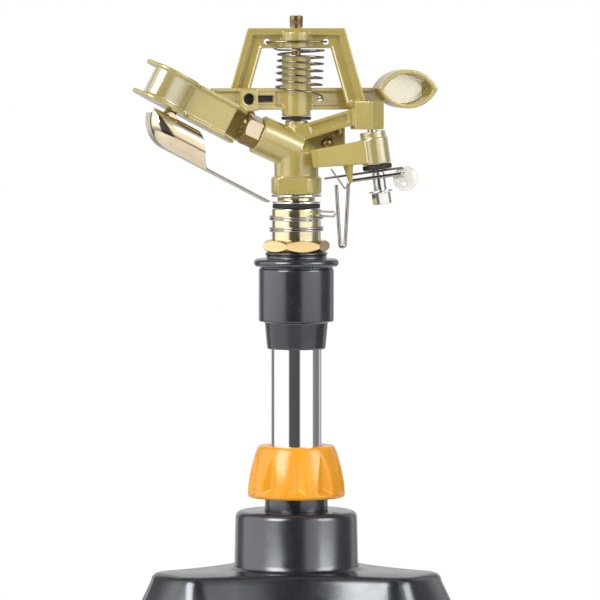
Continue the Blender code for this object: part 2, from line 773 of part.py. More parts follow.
def leg(stand, i):
    """One leg: the pinned knuckle, the outer tube, the lock nut, the sliding tube and the foot."""
    azimuth = lobe_azimuth(i)
    radial = Vector((math.cos(azimuth), math.sin(azimuth), 0))
    pivot = radial * LEG_PIVOT_R + Vector((0, 0, PIVOT_Z))
    number = i + 1
    hinge = frame(f"leg_{number}_hinge", stand, pivot, (0, -LEG_SPREAD, azimuth))
    pin_half = KNUCKLE_WIDTH / 2 + GAP + HUB_RIB_THICKNESS
    pin = rod(LEG_PIN_R, (0, -pin_half, 0), (0, pin_half, 0), ROUND_TINY)
    piece(f"leg_pivot_pin_{number}", pin, hinge, "steel")
    head = rod(KNUCKLE_HEAD_R, (0, -KNUCKLE_WIDTH / 2, 0), (0, KNUCKLE_WIDTH / 2, 0), ROUND_SMALL)
    knuckle = piece(f"leg_knuckle_{number}", head, hinge, "black_plastic")
    shoulder_r = KNUCKLE_WIDTH / 2
    top_r = shoulder_r - KNUCKLE_DRAFT
    join(knuckle, cone(shoulder_r, top_r, -KNUCKLE_SHOULDER, -KNUCKLE_HEAD_R / 3, ROUND_SMALL))
    plug_r = LEG_TUBE_INNER_R - GAP
    plug_end = -KNUCKLE_SHOULDER - KNUCKLE_PLUG
    join(knuckle, cone(plug_r, plug_r, plug_end, -KNUCKLE_SHOULDER / 2, ROUND_SMALL))
    bore = rod(LEG_PIN_R + GAP, (0, -REACH / 2, 0), (0, REACH / 2, 0), ROUND_TINY)
    cut(knuckle, bore)
    tube = ring(LEG_TUBE_R, LEG_TUBE_INNER_R, -LEG_TUBE_END, -KNUCKLE_SHOULDER - GAP, ROUND_SMALL)
    piece(f"leg_outer_tube_{number}", tube, hinge, "chrome")
    leg_nut(hinge, number)
    slide = frame(f"leg_{number}_slide", hinge)
    sole_depth = LEG_TO_FLOOR - FOOT_SOCKET_LENGTH
    inner_end = sole_depth + FOOT_TUBE_DEPTH
    inner_bore = LEG_INNER_R - LEG_INNER_WALL
    sliding = ring(LEG_INNER_R, inner_bore, -inner_end, -LEG_INNER_START, ROUND_SMALL)
    piece(f"leg_inner_tube_{number}", sliding, slide, "chrome")
    leg_foot(slide, number, inner_end)


def leg_nut(hinge, number):
    """The fluted lock nut at the end of the outer tube."""
    top = -LEG_TUBE_END + LEG_NUT_OVERLAP
    low = top - LEG_NUT_LENGTH
    outer_bore = LEG_TUBE_R + GAP
    inner_bore = LEG_INNER_R + GAP
    outline = [
        (LEG_NUT_TOP_R, top),
        (LEG_NUT_WAIST_R, top - LEG_NUT_EDGE),
        (LEG_NUT_R, low + LEG_NUT_SKIRT),
        (LEG_NUT_R, low + LEG_NUT_EDGE),
        (LEG_NUT_R - LEG_NUT_EDGE, low),
        (inner_bore, low),
        (inner_bore, -LEG_TUBE_END - GAP),
        (outer_bore, -LEG_TUBE_END - GAP),
        (outer_bore, top),
    ]
    nut = piece(f"leg_lock_nut_{number}", lathe(outline, ROUND_MEDIUM, True), hinge, "orange_plastic")
    flutes = bmesh.new()
    for i in range(LEG_NUT_FLUTES):
        turn = Matrix.Rotation(FULL_TURN * i / LEG_NUT_FLUTES, 4, "Z")
        start = turn @ Vector((LEG_NUT_R + LEG_NUT_FLUTE_R - LEG_NUT_FLUTE_DEPTH, 0, low - GAP * 3))
        end = turn @ Vector((LEG_NUT_WAIST_R + LEG_NUT_FLUTE_R, 0, top - LEG_NUT_FLUTE_STOP))
        add(flutes, rod(LEG_NUT_FLUTE_R, start, end, ROUND_TINY))
    cut(nut, flutes)


def add(bm, other):
    """Copy one bmesh into another as a body of its own."""
    mesh = bpy.data.meshes.new("copy")
    other.to_mesh(mesh)
    other.free()
    bm.from_mesh(mesh)
    bpy.data.meshes.remove(mesh)


def leg_foot(slide, number, inner_end):
    """The rubber foot: a slanted socket on a level sole."""
    floor = Matrix.Translation((0, 0, -LEG_TO_FLOOR)) @ Matrix.Rotation(LEG_SPREAD, 4, "Y")
    sole = [
        (0, FOOT_THICKNESS),
        (FOOT_R - FOOT_EDGE, FOOT_THICKNESS),
        (FOOT_R, FOOT_THICKNESS - FOOT_EDGE),
        (FOOT_R, 0),
        (0, 0),
    ]
    foot = piece(f"leg_foot_{number}", moved(lathe(sole, ROUND_SMALL, False), floor), slide, "rubber")
    socket_low = -LEG_TO_FLOOR + FOOT_SOCKET_R * math.tan(LEG_SPREAD) + FOOT_SOCKET_LIFT
    socket_top = -LEG_TO_FLOOR + FOOT_SOCKET_LENGTH
    socket_top_r = FOOT_SOCKET_R - FOOT_SOCKET_DRAFT
    join(foot, cone(FOOT_SOCKET_R, socket_top_r, socket_low, socket_top, ROUND_SMALL))
    bore = LEG_INNER_R + GAP
    cut(foot, cone(bore, bore, -inner_end - GAP, socket_top + GAP * 3, ROUND_SMALL))


def outer_column(stand):
    """The tube under the hub that the pole slides in."""
    bore = POLE_R + 2 * GAP
    tube = ring(COLUMN_R, bore, -COLUMN_BELOW_HUB, COLUMN_TOP - GAP, ROUND_MEDIUM)
    piece("outer_column", tube, stand, "black_plastic", (0, 0, HUB_TOP))


def collet_sleeve(stand):
    """The slotted collet that the pole nut squeezes."""
    bore = POLE_R + GAP
    low = COLUMN_TOP + GAP
    top = NUT_Z + NUT_HEIGHT - NUT_LIP - GAP
    neck = NUT_Z + COLLET_NECK / 2
    tip_r = COLLET_R - COLLET_FINGER_TAPER
    outline = [(tip_r, top), (COLLET_R, neck), (COLLET_R, low), (bore, low), (bore, top)]
    body = lathe(outline, ROUND_MEDIUM, True)
    collet = piece("collet_sleeve", body, stand, "black_plastic", (0, 0, HUB_TOP))
    slots = COLLET_SLOTS // 2
    for i in range(slots):
        half = COLLET_SLOT_WIDTH / 2
        slot = box((-REACH, -half, neck), (REACH, half, top + GAP))
        cut(collet, moved(slot, Matrix.Rotation(math.pi * i / slots + math.pi / 12, 4, "Z")))


def pole_lock_nut(stand):
    """The domed nut with pointed flutes that locks the pole."""
    low = NUT_Z + GAP
    top = NUT_Z + NUT_HEIGHT
    drop = NUT_BOTTOM_R - NUT_TOP_R
    outline = [(NUT_TOP_R - NUT_EDGE, top), (NUT_TOP_R, top - NUT_EDGE)]
    for share in NUT_DOME_STATIONS:
        outline.append((NUT_TOP_R + drop * math.sin(share * QUARTER_TURN), top - NUT_HEIGHT * share))
    outline += [(NUT_BOTTOM_R, low + NUT_EDGE), (NUT_BOTTOM_R - NUT_EDGE, low)]
    thread_r = COLLET_R + GAP
    pole_bore = POLE_R + GAP
    outline += [(thread_r, low), (thread_r, top - NUT_LIP), (pole_bore, top - NUT_LIP), (pole_bore, top)]
    turn = frame("pole_nut_turn", stand, (0, 0, HUB_TOP))
    nut = piece("pole_lock_nut", lathe(outline, ROUND_LARGE, True), turn, "orange_plastic")
    flutes = bmesh.new()
    apex_share = 1 - NUT_FLUTE_TOP / NUT_HEIGHT
    apex_r = NUT_TOP_R + drop * math.sin(apex_share * QUARTER_TURN)
    for i in range(NUT_FLUTES):
        spin = Matrix.Rotation(NUT_FLUTE_TURN + FULL_TURN * i / NUT_FLUTES, 4, "Z")
        start = spin @ Vector((NUT_BOTTOM_R + NUT_FLUTE_R - NUT_FLUTE_DEPTH, 0, low - GAP * 3))
        end = spin @ Vector((apex_r + NUT_FLUTE_R, 0, low + NUT_FLUTE_TOP))
        add(flutes, rod(NUT_FLUTE_R, start, end, ROUND_SMALL))
    cut(nut, flutes)


def inlet(stand):
    """The elbow at the foot of the column, with its threaded hose connector and washer."""
    seat = frame("inlet_seat", stand, (0, 0, HUB_TOP - COLUMN_BELOW_HUB))
    column_bore = COLUMN_R + GAP
    body = cone(ELBOW_SOCKET_R, ELBOW_SOCKET_R, -ELBOW_CHAMBER, ELBOW_SOCKET_HEIGHT, ROUND_MEDIUM)
    elbow = piece("inlet_elbow", body, seat, "black_plastic")
    axis_z = -ELBOW_CHAMBER / 2
    join(elbow, rod(ELBOW_BARREL_R, (0, 0, axis_z), (0, -ELBOW_REACH, axis_z), ROUND_SMALL))
    cut(elbow, cone(column_bore, column_bore, -GAP, REACH, ROUND_MEDIUM))
    chamber_r = COLUMN_R - HUB_WALL
    cut(elbow, cone(chamber_r, chamber_r, -ELBOW_CHAMBER + HUB_WALL, HUB_WALL, ROUND_SMALL))
    cut(elbow, rod(ELBOW_BORE_R, (0, 0, axis_z), (0, -REACH, axis_z), ROUND_SMALL))
    mouth = frame("inlet_mouth", seat, (0, -ELBOW_REACH, axis_z), (QUARTER_TURN, 0, 0))
    washer = ring(INLET_WASHER_R, ELBOW_BORE_R + GAP, GAP, WASHER_THICKNESS, ROUND_SMALL)
    piece("inlet_washer", washer, mouth, "rubber")
    flange_z = WASHER_THICKNESS + GAP
    outline = [
        (CONNECTOR_THREAD_R - HUB_WALL / 3, flange_z + CONNECTOR_LENGTH),
        (CONNECTOR_THREAD_R, flange_z + CONNECTOR_LENGTH - HUB_WALL / 3),
        (CONNECTOR_THREAD_R, flange_z + CONNECTOR_FLANGE),
        (CONNECTOR_FLANGE_R, flange_z + CONNECTOR_FLANGE),
        (CONNECTOR_FLANGE_R, flange_z),
        (ELBOW_BORE_R - GAP, flange_z),
        (ELBOW_BORE_R - GAP, -CONNECTOR_SPIGOT),
        (CONNECTOR_BORE_R, -CONNECTOR_SPIGOT),
        (CONNECTOR_BORE_R, flange_z + CONNECTOR_LENGTH),
    ]
    piece("hose_connector", lathe(outline, ROUND_SMALL, True), mouth, "brass")


def riser(slide):
    """The pole with its piston seal, and the threaded coupling with its seal."""
    seal_z = -POLE_BELOW_HUB
    pole_top = COUPLING_Z + POLE_TOP_IN_COUPLING
    tube = ring(POLE_R, POLE_R - POLE_WALL, seal_z, pole_top, ROUND_MEDIUM)
    piece("inner_pole", tube, slide, "chrome")
    seal_r = POLE_R + GAP
    neck_r = POLE_R - POLE_WALL - GAP
    seal = [
        (neck_r, seal_z + SEAL_HEIGHT),
        (neck_r, seal_z - GAP),
        (seal_r, seal_z - GAP),
        (seal_r, seal_z - SEAL_HEIGHT),
        (neck_r - POLE_WALL, seal_z - SEAL_HEIGHT),
        (neck_r - POLE_WALL, seal_z + SEAL_HEIGHT),
    ]
    piece("pole_seal", lathe(seal, ROUND_MEDIUM, True), slide, "rubber")
    web_low = pole_top + GAP + COUPLING_SEAL_HEIGHT + GAP
    web_high = web_low + COUPLING_WEB
    thread_r = NIPPLE_SPIGOT_R + GAP
    outline = [
        (COUPLING_NECK_R - GAP, NIPPLE_Z),
        (COUPLING_NECK_R, NIPPLE_Z - GAP),
        (COUPLING_NECK_R, COUPLING_NECK_Z),
        (COUPLING_BEAD_R - COUPLING_EDGE, COUPLING_NECK_Z),
        (COUPLING_BEAD_R, COUPLING_NECK_Z - COUPLING_EDGE),
        (COUPLING_BEAD_R, COUPLING_BEAD_Z + COUPLING_EDGE),
        (COUPLING_BEAD_R - COUPLING_EDGE, COUPLING_BEAD_Z),
        (COUPLING_BODY_R, COUPLING_BEAD_Z),
        (COUPLING_BODY_R, COUPLING_BODY_Z + COUPLING_EDGE),
        (COUPLING_BODY_R - COUPLING_EDGE, COUPLING_BODY_Z),
        (COUPLING_SHOULDER_R, COUPLING_BODY_Z),
        (COUPLING_CONE_R, COUPLING_Z + COUPLING_EDGE),
        (COUPLING_CONE_R - COUPLING_EDGE / 2, COUPLING_Z),
        (POLE_R + GAP, COUPLING_Z),
        (POLE_R + GAP, web_low),
        (COUPLING_WEB_BORE_R, web_low),
        (COUPLING_WEB_BORE_R, web_high),
        (thread_r, web_high),
        (thread_r, NIPPLE_Z),
    ]
    piece("riser_coupling", lathe(outline, ROUND_LARGE, True), slide, "black_plastic")
    seal_low = pole_top + GAP
    washer = ring(POLE_R, COUPLING_WEB_BORE_R, seal_low, seal_low + COUPLING_SEAL_HEIGHT, ROUND_MEDIUM)
    piece("coupling_seal", washer, slide, "rubber")


def brass_nipple(slide):
    """The brass hexagon with its sleeve above and its threaded spigot below."""
    bore = BEARING_R + GAP
    hex_low = NIPPLE_Z + GAP
    hex_high = NIPPLE_Z + NIPPLE_HEX_HEIGHT
    body = hexagon(NIPPLE_HEX_FLATS, hex_low, hex_high, NIPPLE_HEX_TURN)
    nipple = piece("brass_nipple", body, slide, "brass")
    middle = (hex_low + hex_high) / 2
    join(nipple, cone(SLEEVE_R, SLEEVE_R, middle, SLEEVE_TOP_Z, ROUND_LARGE))
    spigot_low = NIPPLE_Z - NIPPLE_SPIGOT
    join(nipple, cone(NIPPLE_SPIGOT_R, NIPPLE_SPIGOT_R, spigot_low, middle, ROUND_MEDIUM))
    cut(nipple, cone(bore, bore, spigot_low - GAP, SLEEVE_TOP_Z + GAP, ROUND_MEDIUM))


def trip_collar(name, slide, height, azimuth, upwards):
    """A spring wire coil that grips the sleeve, with a hairpin prong and a short tab at its ends."""
    turn = frame(f"{name}_turn", slide, (0, 0, SLEEVE_TOP_Z - SLEEVE_HEIGHT + height), (0, 0, azimuth))
    bend_r = COLLAR_PRONG_HEIGHT / 2
    near = COLLAR_RING_R + 2 * COLLAR_WIRE_R
    points = [(near, 0, COLLAR_PRONG_HEIGHT)]
    bend = arc((COLLAR_PRONG_R - bend_r, bend_r), bend_r, QUARTER_TURN, -QUARTER_TURN, 6)
    points += [(x, 0, z) for x, z in bend]
    points.append((near, 0, 0))
    pitch = 2 * COLLAR_WIRE_R + COLLAR_COIL_GAP
    clear = FULL_TURN / 36
    sweep = COLLAR_TURNS * FULL_TURN - 2 * clear
    steps = COLLAR_TURNS * ROUND_MEDIUM
    for i in range(steps + 1):
        angle = clear + sweep * i / steps
        drop = pitch * angle / FULL_TURN
        points.append((COLLAR_RING_R * math.cos(angle), COLLAR_RING_R * math.sin(angle), -drop))
    tab_r = COLLAR_RING_R + COLLAR_TAB
    points.append((tab_r * math.cos(clear), -tab_r * math.sin(clear), -COLLAR_TURNS * pitch))
    if not upwards:
        points = [(x, y, -z) for x, y, z in points]
    piece(name, wire(points, COLLAR_WIRE_R), turn, "steel")


def jet_direction():
    """The way the jet leaves, towards -X and upwards."""
    level = math.cos(JET_RISE)
    return Vector((-level * math.cos(JET_YAW), -level * math.sin(JET_YAW), math.sin(JET_RISE)))


def bridge_edge(height):
    """How far the bridge's outer edge lies from the pole axis at a height."""
    return BRIDGE_TOP_HALF + (BRIDGE_TOP - height) * BRIDGE_SPREAD


def bridge_outline(inset, band, left_end, right_end):
    """The bridge's arch in XZ: outer edge in by the inset, and as wide as the band."""
    top = BRIDGE_TOP - inset
    inner_top = BRIDGE_TOP - band
    outer = [
        (-bridge_edge(left_end) + inset, left_end),
        (-bridge_edge(top) + inset, top),
        (bridge_edge(top) - inset, top),
        (bridge_edge(right_end) - inset, right_end),
    ]
    inner = [
        (bridge_edge(right_end) - band, right_end),
        (bridge_edge(inner_top) - band, inner_top),
        (-bridge_edge(inner_top) + band, inner_top),
        (-bridge_edge(left_end) + band, left_end),
    ]
    return outer + inner


def body_core():
    """The turned middle of the casting: collar, barrel, shoulder and post."""
    shoulder = BODY_BARREL_R - POST_R
    outline = [(0, POST_TOP), (POST_R, POST_TOP)]
    for out, up in BODY_SHOULDER:
        outline.append((POST_R + shoulder * out, BODY_BARREL_TOP + shoulder * up))
    outline.append((BODY_BARREL_R, BODY_COLLAR_HEIGHT))
    outline.append((BODY_COLLAR_R - BODY_EDGE, BODY_COLLAR_HEIGHT))
    outline.append((BODY_COLLAR_R, BODY_COLLAR_HEIGHT - BODY_EDGE))
    outline += [(BODY_COLLAR_R, BODY_EDGE), (BODY_COLLAR_R - BODY_EDGE, 0), (0, 0)]
    return lathe(outline, ROUND_MEDIUM, False)


def sprinkler_body(head):
    """The olive casting: barrel, inclined nozzle barrel, bridge, strut, lug and rear panel."""
    body = piece("sprinkler_body", body_core(), head, "olive_paint")
    jet = jet_direction()
    root = Vector((0, 0, JET_HEIGHT))
    mouth = root + jet * NOZZLE_BARREL_LENGTH
    join(body, rod(NOZZLE_BARREL_R, root - jet * GAP, mouth, ROUND_MEDIUM))
    web = bridge_outline(BRIDGE_RIM / 10, BRIDGE_BAND, BRIDGE_LEFT_END, BRIDGE_RIGHT_END)
    join(body, upright(plate(web, BRIDGE_WEB)))
    rim = bridge_outline(0.0, BRIDGE_RIM, BRIDGE_LEFT_END, BRIDGE_RIGHT_END)
    join(body, upright(plate(rim, BRIDGE_DEPTH)))
    join(body, cone(BRIDGE_BOSS_R, BRIDGE_BOSS_R, BRIDGE_BOSS_Z, BOSS_TOP_Z + BRIDGE_RIM / 2, ROUND_MEDIUM))
    join(body, upright(plate(left_foot(mouth), FOOT_PLATE_BACK - FOOT_PLATE_FRONT), left_foot_y()))
    lug_place = Matrix.Translation((LUG_X, LUG_Y, 0)) @ Matrix.Rotation(LUG_TURN - QUARTER_TURN, 4, "Z")
    join(body, moved(hexagon(LUG_R * math.sqrt(3), LUG_BOTTOM, LUG_TOP), lug_place))
    join(body, strut(False))
    cut(body, strut(True))
    panel_low = (POST_R / 2, PANEL_Y - PANEL_THICKNESS / 2, PANEL_BOTTOM)
    panel_high = (PANEL_X, PANEL_Y + PANEL_THICKNESS / 2, PANEL_TOP)
    join(body, box(panel_low, panel_high))
    cut_body(body, root, jet, mouth)
    return body


def left_foot_y():
    """The middle of the thin foot of the bridge's left leg."""
    return (FOOT_PLATE_FRONT + FOOT_PLATE_BACK) / 2


def left_foot(mouth):
    """The left leg's foot, behind the nozzle: from the leg's end down to the nozzle barrel."""
    top = BRIDGE_LEFT_END + 2 * BRIDGE_RIM
    outline = [(-bridge_edge(top) + GAP, top)]
    outline.append((-bridge_edge(BRIDGE_LEFT_END) - BRIDGE_RIM / 3, BRIDGE_LEFT_END - BRIDGE_BAND))
    for x, z in FOOT_PLATE_EDGE:
        outline.append((mouth.x + NOZZLE_BARREL_R * x, mouth.z + NOZZLE_BARREL_R * z))
    outline.append((-bridge_edge(top) + BRIDGE_BAND - 2 * GAP, top))
    return outline


def strut(groove):
    """The bar that ties the lug to the post, or the groove along its front."""
    start = Vector((0, 0, POST_TOP - STRUT_DROP))
    end = Vector((LUG_X - LUG_R / 2, 0, (LUG_TOP + LUG_BOTTOM) / 2))
    run = end - start
    lean = math.atan2(run.z, run.x)
    back = -GAP
    front = back - STRUT_DEPTH
    half = STRUT_HEIGHT / 2
    low = (0, front, -half)
    high = (run.length, back, half)
    if groove:
        low = (STRUT_GROOVE_FROM, front - GAP, -half + STRUT_LEDGE)
        high = (run.length - STRUT_GROOVE_STOP, front + STRUT_GROOVE, half - STRUT_GROOVE)
    place = Matrix.Translation(start) @ Matrix.Rotation(-lean, 4, "Y")
    return moved(box(low, high), place)


def cut_body(body, root, jet, mouth):
    """Cut the wrench flats, the waterway, the pin's bore, the bolt's bore and the small holes."""
    flats = Matrix.Rotation(BODY_COLLAR_TURN, 4, "Z")
    for side in (-1, 1):
        near = side * BODY_COLLAR_FLATS / 2
        far = side * REACH / 2
        low = (-REACH / 2, min(near, far), -GAP)
        high = (REACH / 2, max(near, far), BODY_COLLAR_HEIGHT)
        cut(body, moved(box(low, high), flats))
    bearing_bore = BEARING_R + GAP
    cut(body, cone(bearing_bore, bearing_bore, -GAP, BEARING_IN_BODY + GAP, ROUND_SMALL))
    rise_r = WATER_BORE_R - GAP / 6
    cut(body, cone(rise_r, rise_r, BEARING_IN_BODY / 2, JET_HEIGHT, ROUND_SMALL))
    cut(body, rod(WATER_BORE_R, root - jet * WATER_BORE_R / 2, mouth + jet * GAP, ROUND_SMALL))
    pin_bore = PIN_R + GAP
    cut(body, cone(pin_bore, pin_bore, POST_TOP - PIN_IN_POST - GAP, POST_TOP + GAP, ROUND_TINY))
    cut(body, cone(pin_bore, pin_bore, BRIDGE_BOSS_Z - GAP, BRIDGE_TOP + GAP, ROUND_TINY))
    for side in (-1, 1):
        x = side * BRIDGE_HOLE_X
        z = (BRIDGE_BOSS_Z + BOSS_TOP_Z) / 2
        cut(body, rod(BRIDGE_HOLE_R, (x, -BRIDGE_DEPTH, z), (x, BRIDGE_DEPTH, z), ROUND_TINY))
    bolt_bore = TRIP_BOLT_R + GAP
    hole = cone(bolt_bore, bolt_bore, LEVER_Z, TRIP_BOLT_TOP + GAP, ROUND_TINY)
    cut(body, moved(hole, trip_place()))
    for x, z, radius in ((SCREW_X, SCREW_Z, SCREW_SHANK_R), (RIVET_X, RIVET_Z, RIVET_SHANK_R)):
        start = (x, PANEL_Y - PANEL_THICKNESS, z)
        end = (x, PANEL_Y + PANEL_THICKNESS, z)
        cut(body, rod(radius + GAP, start, end, ROUND_TINY))


def trip_place():
    """The leaning axis of the trip gear in the head's frame, with its zero at the bolt head."""
    return Matrix.Translation((TRIP_X, LUG_Y, TRIP_Z)) @ Matrix.Rotation(TRIP_LEAN, 4, "Y")


def side_fasteners(head):
    """The brass screw and the domed rivet in the rear panel."""
    front = PANEL_Y - PANEL_THICKNESS / 2 - GAP
    back = PANEL_Y + PANEL_THICKNESS / 2 + GAP
    turn = (QUARTER_TURN, 0, 0)
    screw = hexagon(SCREW_R * 2, GAP, GAP + SCREW_R)
    made = piece("side_screw", screw, head, "brass", (SCREW_X, front, SCREW_Z), turn)
    join(made, cone(SCREW_SHANK_R, SCREW_SHANK_R, front - back - SCREW_R, SCREW_R / 2, ROUND_TINY))
    half = math.sqrt(0.5)
    dome = [(0, RIVET_DOME), (RIVET_R * half, RIVET_DOME * half), (RIVET_R, 0), (0, 0)]
    made = piece("dome_rivet", lathe(dome, ROUND_TINY, False), head, "steel", (RIVET_X, front, RIVET_Z), turn)
    join(made, cone(RIVET_SHANK_R, RIVET_SHANK_R, front - back - RIVET_R / 2, RIVET_R / 4, ROUND_TINY))


def nozzle(head):
    """The brass hexagonal nozzle with its shank in the barrel and its tapered bore."""
    jet = jet_direction()
    mouth = Vector((0, 0, JET_HEIGHT)) + jet * NOZZLE_BARREL_LENGTH
    turn = jet.to_track_quat("Z", "Y").to_euler()
    body = hexagon(NOZZLE_FLATS, GAP, NOZZLE_HEX_LENGTH, NOZZLE_TURN)
    made = piece("nozzle", body, head, "brass", mouth, turn)
    corner_r = NOZZLE_FLATS / math.sqrt(3)
    face_r = NOZZLE_FLATS / 2 - GAP
    trim = [
        (corner_r + NOZZLE_CHAMFER, NOZZLE_HEX_LENGTH + GAP),
        (corner_r + NOZZLE_CHAMFER, NOZZLE_HEX_LENGTH - NOZZLE_CHAMFER),
        (corner_r, NOZZLE_HEX_LENGTH - NOZZLE_CHAMFER),
        (face_r, NOZZLE_HEX_LENGTH + GAP),
    ]
    cut(made, lathe(trim, ROUND_SMALL, True))
    shank_r = WATER_BORE_R - GAP
    join(made, cone(shank_r, shank_r, -NOZZLE_SHANK, NOZZLE_HEX_LENGTH / 2, ROUND_SMALL))
    cut(made, cone(NOZZLE_INLET_R, NOZZLE_BORE_R, -NOZZLE_SHANK - GAP, NOZZLE_HEX_LENGTH / 2, ROUND_TINY))
    mouth_low = NOZZLE_HEX_LENGTH / 3
    cut(made, cone(NOZZLE_BORE_R, NOZZLE_MOUTH_R, mouth_low, NOZZLE_HEX_LENGTH + GAP, ROUND_TINY))


def bearing(head):
    """The brass tube the head turns on, its seal, and the rings between the sleeve and the body."""
    seal_top = NIPPLE_Z - NIPPLE_SPIGOT - GAP - HEAD_Z
    seal_low = seal_top - WASHER_THICKNESS
    flange_top = seal_low - GAP
    bore = BEARING_R - BEARING_WALL
    outline = [
        (BEARING_R, BEARING_IN_BODY),
        (BEARING_R, flange_top),
        (BEARING_FLANGE_R, flange_top),
        (BEARING_FLANGE_R, flange_top - BEARING_FLANGE),
        (bore, flange_top - BEARING_FLANGE),
        (bore, BEARING_IN_BODY),
    ]
    piece("bearing_tube", lathe(outline, ROUND_SMALL, True), head, "brass")
    inner = BEARING_R + GAP
    piece("bearing_seal", ring(BEARING_FLANGE_R, inner, seal_low, seal_top, ROUND_SMALL), head, "rubber")
    rings = (
        ("dust_ring", DUST_RING_Z, DUST_RING_HEIGHT, DUST_RING_R, "rubber"),
        ("lower_washer", LOWER_WASHER_Z, LOWER_WASHER_HEIGHT, LOWER_WASHER_R, "steel"),
        ("spacer_ring", SPACER_RING_Z, SPACER_RING_HEIGHT, SPACER_RING_R, "brass"),
        ("upper_washer", UPPER_WASHER_Z, UPPER_WASHER_HEIGHT, UPPER_WASHER_R, "steel"),
    )
    for name, low, height, radius, finish in rings:
        start = low - HEAD_Z
        piece(name, ring(radius, inner, start, start + height, ROUND_MEDIUM), head, finish)


def fulcrum(head):
    """The pin the arm turns on, and the washer under the arm."""
    seat = BRIDGE_TOP + GAP
    outline = [
        (0, seat + PIN_HEAD_HEIGHT),
        (PIN_HEAD_TIP_R, seat + PIN_HEAD_HEIGHT),
        (PIN_HEAD_R, seat + PIN_HEAD_HEIGHT - PIN_HEAD_EDGE),
        (PIN_HEAD_R, seat + PIN_HEAD_NECK + GAP),
        (PIN_HEAD_NECK_R, seat + PIN_HEAD_NECK),
        (PIN_HEAD_NECK_R, seat),
        (PIN_R, seat),
        (PIN_R, POST_TOP - PIN_IN_POST),
        (0, POST_TOP - PIN_IN_POST),
    ]
    piece("fulcrum_pin", lathe(outline, ROUND_TINY, False), head, "brass")
    low = POST_TOP + GAP
    washer = ring(ARM_WASHER_R, PIN_R + GAP, low, low + ARM_WASHER_HEIGHT, ROUND_SMALL)
    piece("arm_washer", washer, head, "rubber")


def arm_spring(head):
    """The coil that throws the arm back: it hooks into the bridge above and the arm below."""
    points = []
    steps = SPRING_TURNS * ROUND_TINY
    sweep = SPRING_TURNS * FULL_TURN + ARM_YAW
    seat = SPRING_WIRE_R + GAP
    top = BRIDGE_BOSS_Z - seat
    drop = top - BEAM_TOP - seat
    for i in range(steps + 1):
        angle = sweep * i / steps
        x = SPRING_OFFSET + SPRING_R * math.cos(angle)
        points.append((x, SPRING_R * math.sin(angle), top - drop * i / steps))
    piece("arm_spring", wire(points, SPRING_WIRE_R), head, "steel")


def spoon_place():
    """The spoon channel's frame: +X outwards along it, +Y away from the bulge, +Z down across it."""
    slope = Matrix.Rotation(math.pi + SPOON_SLOPE, 4, "Y")
    return Matrix.Translation((-SPOON_START_R, 0, SPOON_START_Z)) @ slope


def ribbon(points, thickness):
    """The closed outline of a band of even thickness about a line of points."""
    left = []
    right = []
    count = len(points)
    for i, point in enumerate(points):
        before = Vector(points[max(i - 1, 0)])
        after = Vector(points[min(i + 1, count - 1)])
        along = (after - before).normalized()
        normal = Vector((-along.y, along.x)) * thickness / 2
        left.append(tuple(Vector(point) + normal))
        right.append(tuple(Vector(point) - normal))
    return left + right[::-1]


def spoon_curve(extra):
    """The bulge of the spoon's curved vane, seen along the flanges' normal, grown by an amount."""
    middle = (SPOON_CURVE_FROM + SPOON_CURVE_TO) / 2
    half = (SPOON_CURVE_TO - SPOON_CURVE_FROM) / 2 + extra
    points = []
    steps = 12
    for i in range(1, steps):
        angle = -math.pi + math.pi * i / steps
        out = (SPOON_BULGE + extra) * math.sin(angle)
        points.append((middle + half * math.cos(angle), -SPOON_FRONT + out))
    return points


def spoon(arm):
    """The water spoon: two flanges with a straight web and a curved vane between them."""
    place = spoon_place()
    line = [(SPOON_WEB_FROM, -SPOON_FRONT), (SPOON_CURVE_FROM, -SPOON_FRONT)] + spoon_curve(0.0)
    line += [(SPOON_CURVE_TO, -SPOON_FRONT), (SPOON_CURVE_TO - SPOON_WEB / 2, SPOON_BACK / 3)]
    web = plate(ribbon(line, SPOON_WEB), SPOON_BREADTH - SPOON_FLANGE)
    join(arm, moved(web, place @ Matrix.Translation((0, 0, SPOON_BREADTH / 2))))
    rim = SPOON_WEB
    outline = [(0, SPOON_BACK / 2), (0, -SPOON_FRONT / 2), (SPOON_WEB_FROM, -SPOON_FRONT - rim)]
    outline += [(SPOON_CURVE_FROM - 2 * rim, -SPOON_FRONT - rim)] + spoon_curve(rim)
    outline += [(SPOON_LENGTH, -SPOON_TIP), (SPOON_LENGTH - SPOON_TIP, 2 * SPOON_TIP)]
    outline += [(SPOON_BACK_TO, SPOON_BACK)]
    for depth in (SPOON_FLANGE / 2, SPOON_BREADTH - SPOON_FLANGE / 2):
        flange = plate(outline, SPOON_FLANGE)
        join(arm, moved(flange, place @ Matrix.Translation((0, 0, depth))))


def lens(inset):
    """The pointed oval of the eye-shaped counterweight, drawn in by an amount."""
    length = EYE_TO - EYE_FROM
    height = EYE_HEIGHT
    radius = (length**2 + height**2) / (4 * height)
    middle_x = (EYE_FROM + EYE_TO) / 2
    drop = radius - height / 2
    inner = radius - inset
    half = math.acos(drop / inner)
    top = arc((middle_x, EYE_MIDDLE_Z - drop), inner, QUARTER_TURN - half, QUARTER_TURN + half, 10)
    low = arc((middle_x, EYE_MIDDLE_Z + drop), inner, -QUARTER_TURN - half, -QUARTER_TURN + half, 10)
    return top + low[1:-1]


